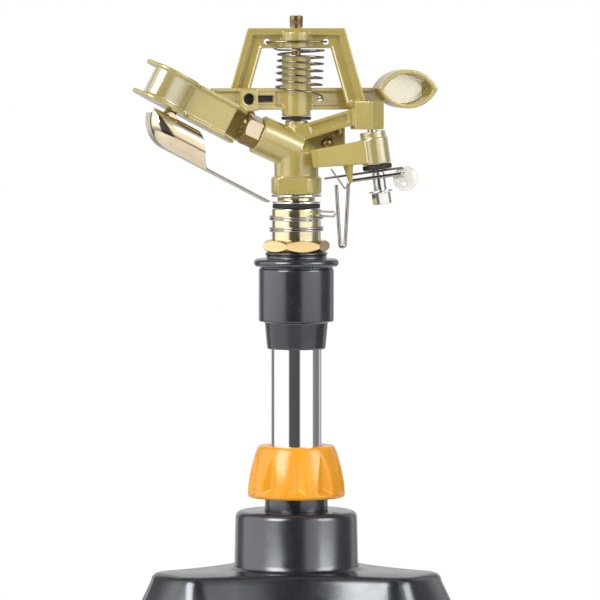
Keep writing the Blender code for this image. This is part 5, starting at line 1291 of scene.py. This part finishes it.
@dataclass
class Arm(Assembly):
    """The olive impact arm with its spoon and eye-shaped weight, and its spring."""

    hub_r: float = 7.25
    hub_low: float = 38.8
    hub_top: float = 69.0
    bore_r: float = 2.6
    beam_low: float = 42.0
    beam_top: float = 52.9
    beam_depth: float = 4.0
    beam_flange: float = 1.8
    beam_web: float = 1.8
    web_inset: float = 0.3
    beam_left: float = 44.0
    slot_from: float = 12.1
    slot_to: float = 20.5
    slot_height: float = 3.5
    slot_floor: float = 0.5
    slot_rim: float = 1.0
    block_from: float = 21.1
    block_to: float = 30.3
    block_front: float = 5.2
    block_drop: float = 0.6
    block_bore_r: float = 2.75
    hook_x: float = 12.3
    hook_r: float = 1.3
    hook: tuple[Triple, ...] = ((-0.6, -5.2, 1.5), (0.0, -3.2, 0.3), (0.0, 2.6, 0.0))
    slope: float = 27.5
    spoon_x: float = -25.6
    spoon_z: float = 41.2
    spoon_length: float = 57.5
    breadth: float = 17.8
    flange: float = 1.8
    back: float = 6.0
    front: float = 7.0
    vane: float = 2.2
    vane_from: float = 6.9
    curve_from: float = 32.0
    curve_to: float = 51.5
    bulge: float = 6.0
    eye_from: float = 40.5
    eye_to: float = 71.4
    eye_z: float = 52.2
    eye_height: float = 19.5
    eye_wall: float = 2.2
    eye_front: float = 9.0
    eye_back: float = 4.5
    eye_pocket: float = 9.8
    eye_shade: float = 5.6
    grain: float = 0.40
    pin_x: float = 65.5
    pin_z: float = 39.0
    pin_boss_r: float = 3.4
    pin_boss_y: Pair = (0.6, 2.6)
    pin_bore_r: float = 1.3
    spring_r: float = 11.5
    spring_wire_r: float = 0.5
    spring_levels: tuple[float, ...] = (71.85, 71.6, 69.6, 68.1, 66.5, 64.85, 63.4, 61.2, 60.4, 57.7, 57.0,
                                        54.3, 53.6, 49.6)
    spring_lean: Pair = (2.45, 1.2)
    spring_route: tuple[Triple, ...] = (
        (15.0, 2.6, 75.9), (15.0, -1.8, 75.9), (11.5, -5.6, 76.0), (5.5, -8.1, 76.1), (0.0, -8.8, 76.1),
        (-5.5, -8.1, 76.0), (-11.5, -5.4, 75.9), (-14.7, -1.8, 75.8), (-14.9, 2.4, 75.6),
        (-12.6, 3.4, 73.6), (-10.0, 2.2, 72.1))

    def build(self) -> None:
        """Build the arm and its spring."""
        self.dress(self.casting())
        self.spring()

    @property
    def beam_z(self) -> float:
        """The middle of the beam's height."""
        return (self.beam_low + self.beam_top) / 2

    @property
    def block_x(self) -> float:
        """The middle of the bored block's width."""
        return -(self.block_from + self.block_to) / 2

    def eye(self, inset: float, steps: int = 24) -> list[Pair]:
        """The pointed oval of the eye-shaped weight.

        Args:
            inset: How far it is drawn in.
            steps: The pieces of each side.

        Returns:
            The oval's outline in XZ.
        """
        length = self.eye_to - self.eye_from
        radius = (length ** 2 + self.eye_height ** 2) / (4 * self.eye_height)
        middle = (self.eye_from + self.eye_to) / 2
        drop = radius - self.eye_height / 2
        inner = radius - inset
        half = math.acos(drop / inner)
        top = arc((middle, self.eye_z - drop), inner, QUARTER - half, QUARTER + half, steps)
        low = arc((middle, self.eye_z + drop), inner, -QUARTER - half, -QUARTER + half, steps)
        return top + low[1:-1]

    def casting(self) -> bpy.types.Object:
        """The arm's casting.

        Returns:
            The finished piece.
        """
        cast = Casting()
        cast.cylinder((0, 0, self.hub_low), (0, 0, self.hub_top), self.hub_r, sides=SOLID_SIDES)
        half, web = self.beam_depth / 2, self.beam_web / 2
        left, right = -self.beam_left, self.eye_from + 2 * self.eye_wall
        cast.box((left, -web, self.beam_low + self.web_inset), (right, web, self.beam_top - self.web_inset))
        for low in (self.beam_low, self.beam_top - self.beam_flange):
            cast.box((left, -half, low), (right, half, low + self.beam_flange))
        rim = self.slot_height / 2 + self.slot_rim
        cast.box((-self.slot_to - self.slot_rim, -half, self.beam_z - rim),
                 (-self.slot_from + self.slot_rim, half, self.beam_z + rim))
        cast.box((-self.block_to, -self.block_front, self.beam_low - self.block_drop),
                 (-self.block_from, half * 0.9, self.beam_top - self.block_drop))
        self.spoon(cast)
        cast.slab(self.eye(0.0), -self.eye_back, self.eye_front, UPRIGHT)
        ends = [(-self.pin_x, y, self.pin_z) for y in self.pin_boss_y]
        cast.cylinder(*ends, self.pin_boss_r, sides=BORE_SIDES)
        self.cut(cast.cuts, half)
        return self.shop.casting(cast, "impact_arm", self.datum.arm, self.grain)

    def cut(self, cuts: Shape, half: float) -> None:
        """Take out the eye's pocket, the slot and the bores.

        Args:
            cuts: What is cut from the casting.
            half: Half the beam's depth.
        """
        z = self.beam_z
        cuts.slab(self.eye(self.eye_wall), self.eye_front - self.eye_pocket, self.eye_front + PAST, UPRIGHT)
        cuts.cylinder((0, 0, self.hub_low - PAST), (0, 0, self.hub_top + PAST), self.bore_r, sides=BORE_SIDES)
        for near, far in ((-half - PAST, -self.slot_floor), (self.slot_floor, half + PAST)):
            cuts.box((-self.slot_to, near, z - self.slot_height / 2),
                     (-self.slot_from, far, z + self.slot_height / 2))
        for x, near, far, height, radius, sides in (
            (self.block_x, -30, -self.block_front / 3, z, self.block_bore_r, BORE_SIDES),
            (self.hook_x, -9, 9, z, self.hook_r, 32),
            (-self.pin_x, -0.3, 12, self.pin_z, self.pin_bore_r, 32),
        ):
            cuts.cylinder((x, near, height), (x, far, height), radius, sides=sides)

    def dress(self, arm: bpy.types.Object) -> None:
        """Paint a highlight on the eye's floor, give the curved vane its glossier finish, and paint shade
        into the block's bore and the slot's floor with the rubber finish.

        Args:
            arm: The finished casting.
        """
        place, z = self.datum.arm, self.beam_z
        floor = self.eye_pocket - self.eye_front
        eye = self.eye_height / 2 - self.eye_wall
        # Painted highlight: the eye's floor gets the pale finish, up to its shaded tip.
        self.shop.patch(arm, PAINTED_HIGHLIGHT_OLIVE, place, (self.eye_from, floor - 0.2, self.eye_z - eye),
                        (self.eye_to - self.eye_shade, floor + 0.6, self.eye_z + eye), (0.0, -1.0, 0.0))
        low = (self.curve_from - 1.5, -self.front - self.bulge - 2 * self.vane, self.flange + 0.3)
        high = (self.curve_to + self.vane, 0, self.breadth - self.flange - 0.3)
        self.shop.patch(arm, GLOSSY_OLIVE, place @ self.spoon_place(), low, high)
        # Painted shade: the block's bore and the slot's floor get the dark rubber finish in place of the
        # shade inside them.
        x, reach, rise = self.block_x, self.block_bore_r * 0.93, self.slot_height / 2
        for low, high in (
            ((x - reach, PAST - self.block_front, z - reach), (x + reach, 0, z + reach)),
            ((-self.slot_to, -self.slot_floor - 0.4, z - rise), (-self.slot_from, 0, z + rise)),
        ):
            self.shop.patch(arm, RUBBER, place, low, high)

    def bulged(self, extra: float, steps: int = 28) -> list[Pair]:
        """The bulge of the spoon's curved vane.

        Args:
            extra: How far it is grown.
            steps: The pieces of the curve.

        Returns:
            The points along it, in the spoon's XY.
        """
        middle = (self.curve_from + self.curve_to) / 2
        half = (self.curve_to - self.curve_from) / 2 + extra
        points = []
        for i in range(1, steps):
            angle = -math.pi + math.pi * i / steps
            out = (self.bulge + extra) * math.sin(angle)
            points.append((middle + half * math.cos(angle), -self.front + out))
        return points

    def spoon_place(self) -> Matrix:
        """Where the spoon's own frame lies in the arm's."""
        lean = Matrix.Rotation(math.pi + math.radians(self.slope), 4, "Y")
        return Matrix.Translation((self.spoon_x, 0, self.spoon_z)) @ lean

    def spoon(self, cast: Casting) -> None:
        """Two flanges with a straight web and a curved vane between them.

        Args:
            cast: The casting that it is added to.
        """
        place, rim = self.spoon_place(), self.vane
        line = [(self.vane_from, -self.front), (self.curve_from, -self.front)] + self.bulged(0.0)
        line += [(self.curve_to, -self.front), (self.curve_to - self.vane / 2, self.back / 3)]
        cast.slab(self.band(line, self.vane), self.flange / 2, self.breadth - self.flange / 2, place)
        outline = [(0, self.back * 0.5), (0, -self.front * 0.5), (self.vane_from, -self.front - rim)]
        outline += [(self.curve_from - 2 * rim, -self.front - rim)] + self.bulged(rim)
        outline += [(self.spoon_length, -self.back * 0.3), (self.spoon_length * 0.97, self.back * 0.6)]
        outline += [(self.curve_to * 0.9, self.back)]
        for low in (0.0, self.breadth - self.flange):
            cast.slab(outline, low, low + self.flange, place)

    def band(self, points: Sequence[Pair], thickness: float) -> list[Pair]:
        """The closed outline of a band of even thickness.

        Args:
            points: The band's middle line.
            thickness: Its thickness.

        Returns:
            The outline.
        """
        left, right = [], []
        last = len(points) - 1
        for i, point in enumerate(points):
            along = (Vector(points[min(i + 1, last)]) - Vector(points[max(i - 1, 0)])).normalized()
            normal = Vector((-along.y, along.x)) * thickness / 2
            left.append(tuple(Vector(point) + normal))
            right.append(tuple(Vector(point) - normal))
        return left + right[::-1]

    def spring(self) -> None:
        """The coil between the bridge and the beam, which twists as the arm swings."""
        per_half = 24
        last = len(self.spring_levels) - 1
        coil = []
        for i in range(last * per_half - 6):
            k, part = divmod(i, per_half)
            angle = math.pi * (1 + i / per_half)
            low, high = self.spring_levels[k], self.spring_levels[k + 1]
            lean = (self.spring_lean[1] - self.spring_lean[0]) * i / (last * per_half)
            coil.append((self.spring_lean[0] + lean + self.spring_r * math.cos(angle),
                         self.spring_r * math.sin(angle), low + (high - low) * part / per_half))
        route = soften(self.spring_route, 1.6, closed=False) + coil + self.spring_tail()
        mesh = wire("arm_spring", route, self.spring_wire_r, self.datum.head)
        spring = self.shop.place(mesh, "arm_spring", ride=False)
        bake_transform(spring)

    def spring_tail(self) -> list[Triple]:
        """The spring's lower end, which hooks through the beam's hole.

        Returns:
            The points along it, in the head's frame.
        """
        turn = self.datum.head.inverted() @ self.datum.arm
        hook = [(self.hook_x + x, y, self.beam_z + z) for x, y, z in self.hook]
        return [tuple(turn @ Vector(point)) for point in soften(hook, 1.2, closed=False)]


@dataclass
class Deflector(Assembly):
    """The plated flap under the spoon: a flat tail and a rolled bowl."""

    gauge: float = 0.9
    pin_x: float = 65.5
    pin_z: float = 39.0
    slope: float = 27.2
    tail_x: float = 15.4
    tail_z: float = -4.1
    length: float = 59.0
    bowl_r: float = 8.2
    edge_roll: float = 8.0
    rim: float = 15.2
    rim_from: float = 36.0
    rim_to: float = 50.0
    end_r: float = 15.8
    end_sweep: float = 78.0
    back: float = 5.0
    front: float = 4.0
    tab: tuple[Triple, Triple] = ((-2.2, -8.5, -0.9), (1.9, -2.3, 0.9))
    knuckle_r: float = 2.2
    knuckle: Pair = (-2.9, 0.3)

    def build(self) -> None:
        """Build the flap and its pin."""
        slope = math.radians(self.slope)
        shape = self.flap(slope)
        lean = Matrix.Rotation(slope, 4, "Y")
        shape.box(*self.tab, lean)
        shape.cylinder((0, self.knuckle[0], 0), (0, self.knuckle[1], 0), self.knuckle_r, sides=BORE_SIDES)
        hinge = self.datum.arm @ Matrix.Translation((-self.pin_x, 0, self.pin_z))
        made = self.shop.shape(shape, "deflector_flap", hinge, 40.0)
        # Painted shade: a dark outline along the tail's front edge, in the edge finish.
        edge = 0.14 - self.front - self.bowl_r * math.sin(math.radians(self.edge_roll))
        start = lean.inverted() @ self.tail()
        low = (start.x - self.rim_from, -2 * self.bowl_r, start.z - 3.0)
        self.shop.patch(made, PAINTED_SHADE_EDGE, hinge @ lean, low, (start.x + 3.0, edge, start.z + 4.0))
        self.shop.copy("deflector_pin", 0.15)

    def tail(self) -> Vector:
        """Where the tail starts, from the hinge."""
        return Vector((self.pin_x - self.tail_x, 0, self.tail_z - self.pin_z))

    def rim_height(self, run: float) -> float:
        """How high the front edge stands.

        Args:
            run: How far along the flap from the tail's end.

        Returns:
            The height above the flap's back.
        """
        low = self.bowl_r * (1 - math.cos(math.radians(self.edge_roll)))
        share = min(max((run - self.rim_from) / (self.rim_to - self.rim_from), 0.0), 1.0)
        return low + (self.rim - low) * share * share * (3 - 2 * share)

    def section(self, start: Vector, above: Vector, radius: float, rim: float,
                steps: int = 22) -> list[Vector]:
        """One cross-section: flat at the back, rolled up at the front.

        Args:
            start: The section's middle.
            above: The way up from the flap.
            radius: The roll's radius.
            rim: How high the roll ends.
            steps: The pieces of the roll.

        Returns:
            The section's points.
        """
        width = self.back + self.front
        points = [start + Vector((0, self.back - width * k / 6, 0)) for k in range(7)]
        roll = math.acos(1 - rim / radius)
        for k in range(1, steps + 1):
            angle = roll * k / steps
            out = -self.front - radius * math.sin(angle)
            points.append(start + Vector((0, out, 0)) + above * radius * (1 - math.cos(angle)))
        return points

    def flap(self, slope: float, stations: int = 72, end_stations: int = 24) -> Shape:
        """The flap as one sheet, with the hinge at its frame's origin.

        Args:
            slope: How it slopes down to the tail, in radians.
            stations: The pieces along it.
            end_stations: The pieces of its curved end.

        Returns:
            The sheet, as a shape.
        """
        along = Vector((-math.cos(slope), 0, math.sin(slope)))
        above = Vector((math.sin(slope), 0, math.cos(slope)))
        sections = []
        for i in range(stations + 1):
            run = self.length * i / stations
            sections.append(self.section(self.tail() + along * run, above, self.bowl_r, self.rim_height(run)))
        for i in range(1, end_stations + 1):
            angle = math.radians(self.end_sweep) * i / end_stations
            lift = self.end_r * (1 - math.cos(angle))
            start = self.tail() + along * (self.length + self.end_r * math.sin(angle)) + above * lift
            sections.append(self.section(start, above, self.bowl_r * math.cos(angle), self.rim - lift))
        bm = bmesh.new()
        rows = []
        for points in sections:
            verts = [bm.verts.new(point) for point in points]
            rows.append([bm.edges.new(pair) for pair in zip(verts, verts[1:])])
        for lower, upper in zip(rows, rows[1:]):
            bmesh.ops.bridge_loops(bm, edges=lower + upper)
        bmesh.ops.recalc_face_normals(bm, faces=bm.faces)
        bmesh.ops.solidify(bm, geom=list(bm.faces), thickness=self.gauge)
        return Shape().take(bm)


@dataclass
class TripGear(Assembly):
    """The part-circle gear on its leaning bolt: washers, lever, plate and wires."""

    bolt_r: float = 2.4
    bolt_top: float = 40.0
    head_flats: float = 8.4
    head_turn: float = 105.0
    head_height: float = 5.8
    head_chamfer: float = 0.9
    head_face: float = 0.95
    head_round: float = 0.4
    washer_r: float = 5.9
    washer_z: Pair = (0.3, 1.1)
    spacer_r: float = 3.2
    spacer_z: Pair = (1.4, 10.2)
    rubber_r: float = 7.3
    rubber_z: float = 11.8
    rubber_height: float = 2.4
    lever_z: float = 14.5
    boss_r: float = 7.1
    boss: float = 13.0
    neck_r: float = 6.4
    neck: float = 3.3
    lever_yaw: float = 208.0
    lever_length: float = 34.2
    lever_depth: float = 7.0
    tip_low: float = 2.9
    tip_height: float = 9.0
    arm_inset: float = 0.3
    grain: float = 0.3
    post_r: float = 2.7
    post_tip_r: float = 1.1
    post_reach: float = 16.2
    post_drop: float = 6.5
    sheet_edge: float = 1.3
    wire_seat: Triple = (12.2, -4.4, 8.1)
    wire_r: float = 0.9
    wire_start: Triple = (0.0, 3.1, 0.0)
    wire_corner: Triple = (-27.35, 0.0, 0.0)
    wire_foot: Pair = (-34.7, -30.7)
    wire_foot_r: float = 1.3
    wire_end: Triple = (-33.7, 0.0, -0.9)
    toggle_wire_r: float = 0.4
    hook_reach: float = 25.9
    foot_reach: float = 19.8
    foot_drop: float = 9.8

    def build(self) -> None:
        """Build the gear's pieces."""
        self.bolt()
        self.washers()
        self.lever()
        # Painted shade: the trip plate's narrow edge faces get the dark edge finish as an outline.
        self.shop.edges(self.shop.copy("trip_plate", 0.18), PAINTED_SHADE_EDGE, self.sheet_edge)
        self.wires()

    def bolt(self) -> None:
        """The hexagonal bolt head with a washer face and its shank."""
        corner = self.head_flats / math.sqrt(3) + self.head_round
        low = -self.head_height
        profile = [(0, 0), (corner, 0), (corner, low + self.head_chamfer),
                   (self.head_flats / 2 * self.head_face, low), (0, low)]
        bolt = Shape().turned(profile, closed=False).hexagon(self.head_flats, self.head_turn)
        bolt.cylinder((0, 0, -PAST), (0, 0, self.bolt_top), self.bolt_r, sides=BORE_SIDES)
        self.shop.shape(bolt, "trip_bolt", self.datum.trip, HEX_CREASE)

    def washers(self) -> None:
        """The steel washer, the spacer and the black rubber washer."""
        rubber = (self.rubber_z, self.rubber_z + self.rubber_height)
        for node, outer, span, ease in (
            ("bolt_washer", self.washer_r, self.washer_z, 0.25),
            ("spacer_tube", self.spacer_r, self.spacer_z, 0.3),
            ("trip_rubber_washer", self.rubber_r, rubber, 0.6),
        ):
            profile = soften(ring(self.bolt_r + GAP, outer, *span), ease)
            self.shop.shape(Shape().turned(profile), node, self.datum.trip)

    def lever(self) -> None:
        """The olive lever with its bored boss, neck and post."""
        cast = Casting()
        top = self.lever_z + self.boss
        cast.cylinder((0, 0, self.lever_z), (0, 0, top), self.boss_r, sides=SOLID_SIDES)
        cast.cylinder((0, 0, top - PAST), (0, 0, top + self.neck), self.neck_r, sides=SOLID_SIDES)
        yaw = spin_z(self.lever_yaw)
        low = self.lever_z + self.tip_low
        outline = [(0, self.lever_z + self.arm_inset), (self.lever_length, low),
                   (self.lever_length, low + self.tip_height), (0, top - self.arm_inset)]
        half = self.lever_depth / 2
        cast.slab(outline, -half, half, yaw @ UPRIGHT)
        foot, head = (yaw @ Vector((self.post_reach, 0, z)) for z in (self.lever_z - self.post_drop, low))
        cast.cylinder(foot, head, self.post_tip_r, self.post_r, sides=40)
        cast.cuts.cylinder((0, 0, self.lever_z - PAST), (0, 0, top + self.neck + PAST), self.bolt_r + GAP,
                           sides=BORE_SIDES)
        made = self.shop.casting(cast, "trip_lever", self.datum.trip, self.grain)
        self.shop.patch(made, MATT_OLIVE, self.datum.trip @ yaw, (self.boss_r, -half - PAST, 0),
                        (self.lever_length + PAST, half + PAST, top))

    def wires(self) -> None:
        """The V-shaped wire on the bracket and the thin spring under the lever."""
        vee = [self.wire_start, (0.0, 0.0, 0.0), self.wire_corner]
        vee += [(x, 0.0, z) for x, z in arc(self.wire_foot, self.wire_foot_r, 0.0, -math.pi, 12)]
        vee = soften(vee[:4], 2.0, 6, closed=False) + vee[4:] + [self.wire_end]
        seat = self.datum.trip @ Matrix.Translation(self.wire_seat)
        self.shop.place(wire("trip_wire", vee, self.wire_r, seat), "trip_wire")
        bent = [
            (self.hook_reach, 0, self.lever_z + self.tip_low / 3),
            (self.foot_reach, 0, self.lever_z - self.foot_drop),
            (self.post_reach, 0, self.lever_z - self.post_drop - self.toggle_wire_r - GAP),
        ]
        line = soften(bent, 0.8, 5, closed=False)
        yaw = self.datum.trip @ spin_z(self.lever_yaw)
        self.shop.place(wire("toggle_spring", line, self.toggle_wire_r, yaw), "toggle_spring")


@dataclass(frozen=True)
class Lamp:
    """A soft square lamp, with sizes in metres."""

    name: str
    spot: Triple
    size: float
    power: float
    in_gloss: bool = True


@dataclass
class Studio:
    """The plain pale floor, the soft light and the camera at the photograph's angle.

    Its sizes are in metres, apart from the sensor's, which is in millimetres.
    """

    distance: float = 2.7
    width: float = 0.300
    sensor: float = 36.0
    elevation: float = 3.0
    aim: Triple = (0.00185, -0.0627, 0.4792)
    panel_peak: float = 1.5
    panel_levels: tuple[Pair, ...] = (
        (-180, 0.75), (-150, 0.75), (-142, 0.18), (-124, 0.22), (-115, 1.25), (-78, 1.5), (-37, 1.25),
        (-31, 0.10), (14, 0.08), (20, 1.2), (78, 1.2), (84, 0.25), (122, 0.20), (132, 0.75), (140, 0.75),
        (144, 0.28), (152, 0.28), (160, 0.75), (180, 0.75))
    low_fade: tuple[Pair, Pair] = ((-0.32, -0.11), (0.45, 1.5))
    high_fade: tuple[Pair, Pair] = ((0.42, 0.72), (1.0, 0.45))
    soft_grey: Triple = (0.42, 0.42, 0.43)
    lamp_set: tuple[Lamp, ...] = (
        Lamp("key", (-1.3, -1.5, 1.6), 1.2, 34.0),
        Lamp("fill", (1.6, -1.0, 1.3), 1.0, 15.0),
        Lamp("rear", (0.3, 1.9, 1.3), 1.6, 22.0, in_gloss=False))
    floor_r: float = 1.3
    floor_grey: Triple = (0.86, 0.86, 0.86)
    floor_gloss: float = 0.7
    floor_fade: Pair = (0.35, 0.97)

    def build(self) -> None:
        """Set the stage."""
        self.camera()
        self.world()
        self.lamps()
        self.floor()
        bpy.context.scene.view_settings.view_transform = "Standard"

    def camera(self) -> None:
        """Make the camera and aim it."""
        data = bpy.data.cameras.new("camera")
        made = linked("camera", data)
        rise = math.radians(self.elevation)
        back = Vector((0, -math.cos(rise), math.sin(rise)))
        made.location = Vector(self.aim) + back * self.distance
        made.rotation_euler = (-back).to_track_quat("-Z", "Y").to_euler()
        data.sensor_width = self.sensor
        data.lens = self.sensor * self.distance / self.width
        data.clip_end = 50.0
        bpy.context.scene.camera = made

    def world(self) -> None:
        """A white studio whose panels and dark gaps show in the metal."""
        world = bpy.data.worlds.new("studio")
        bpy.context.scene.world = world
        world.use_nodes = True
        graph = Graph(world.node_tree)
        x, y, z = graph.add("SeparateXYZ", 0, {"Vector": graph.add("TexCoord", "Generated")}).node.outputs
        bearing = self.maths(graph, "ARCTAN2", x, self.maths(graph, "MULTIPLY", y, -1.0))
        share = self.maths(graph, "MULTIPLY_ADD", bearing, 1 / TURN, 0.5)
        ramp = graph.add("ValToRGB", "Color", {"Fac": share})
        self.panels(ramp.node.color_ramp)
        level = self.maths(graph, "MULTIPLY", self.span(graph, z, *self.low_fade),
                           self.span(graph, z, *self.high_fade))
        panels = graph.add("VectorMath", "Vector", {0: ramp, "Scale": level}, operation="SCALE")
        rays = graph.add("LightPath").node.outputs
        grey = (*self.soft_grey, 1.0)
        gloss = {"A": grey, "B": panels, "Factor": rays["Is Glossy Ray"]}
        mixed = graph.add("Mix", "Result", gloss, data_type="RGBA")
        clear = self.maths(graph, "MAXIMUM", rays["Is Camera Ray"], rays["Is Transmission Ray"])
        plain = {"A": mixed, "B": (1.0, 1.0, 1.0, 1.0), "Factor": clear}
        final = graph.add("Mix", "Result", plain, data_type="RGBA")
        graph.feed(world.node_tree.nodes["Background"], {"Color": final, "Strength": 1.0})

    def maths(self, graph: Graph, operation: str, *values: Socket | float) -> Socket:
        """A maths node on sockets and plain values."""
        return graph.add("Math", "Value", dict(enumerate(values)), operation=operation)

    def span(self, graph: Graph, value: Socket, source: Pair, target: Pair) -> Socket:
        """A smooth step of a value from one level to another."""
        levels = dict(zip(("From Min", "From Max", "To Min", "To Max"), source + target))
        return graph.add("MapRange", "Result", {"Value": value, **levels}, interpolation_type="SMOOTHSTEP")

    def panels(self, ramp: bpy.types.ColorRamp) -> None:
        """Set the studio's grey levels, by bearing from the front, with soft edges.

        Args:
            ramp: The ramp round the object.
        """
        ramp.interpolation = "LINEAR"
        for bearing, _ in self.panel_levels[1:-1]:
            ramp.elements.new(bearing / 360 + 0.5)
        for mark, (_, level) in zip(ramp.elements, self.panel_levels):
            mark.color = (*[level / self.panel_peak] * 3, 1.0)

    def lamps(self) -> None:
        """Large soft lamps above the front's sides, and one behind that no gloss shows."""
        for source in self.lamp_set:
            data = bpy.data.lights.new(source.name, "AREA")
            data.shape = "SQUARE"
            data.size = source.size
            data.energy = source.power
            lamp = linked(source.name, data)
            lamp.location = source.spot
            lamp.visible_glossy = source.in_gloss
            ahead = Vector(self.aim) - Vector(source.spot)
            lamp.rotation_euler = ahead.to_track_quat("-Z", "Y").to_euler()

    def floor(self) -> None:
        """A pale disc that fades to white at its rim and keeps the shadow."""
        bm = bmesh.new()
        bmesh.ops.create_circle(bm, cap_ends=True, segments=128, radius=self.floor_r)
        made = linked("floor", to_mesh(bm, "floor"))
        paint = bpy.data.materials.new("floor")
        paint.use_nodes = True
        nodes = paint.node_tree.nodes
        graph = Graph(paint.node_tree)
        matt = nodes["Principled BSDF"]
        graph.feed(matt, {"Base Color": (*self.floor_grey, 1.0), "Roughness": self.floor_gloss})
        out = graph.add("VectorMath", "Value", {0: graph.add("TexCoord", "Object")}, operation="LENGTH")
        near, far = (self.floor_r * share for share in self.floor_fade)
        fade = self.span(graph, out, (near, far), (0.0, 1.0))
        share = self.maths(graph, "MULTIPLY", fade, graph.add("LightPath", "Is Camera Ray"))
        glow = graph.add("Emission", "Emission")
        both = graph.add("MixShader", "Shader", {"Fac": share, 1: matt.outputs["BSDF"], 2: glow})
        graph.feed(nodes["Material Output"], {"Surface": both})
        made.data.materials.append(paint)


def main() -> None:
    """Build the stage, the sub-assemblies and what is carried over."""
    logging.basicConfig(level=logging.INFO, format="%(message)s")
    Studio().build()
    shop = Workshop()
    datum = Datum.read()
    for part in (Riser, Swivel, Body, Arm, Deflector, TripGear):
        part(shop, datum).build()
    shop.rest()


if __name__ == "__main__":
    main()
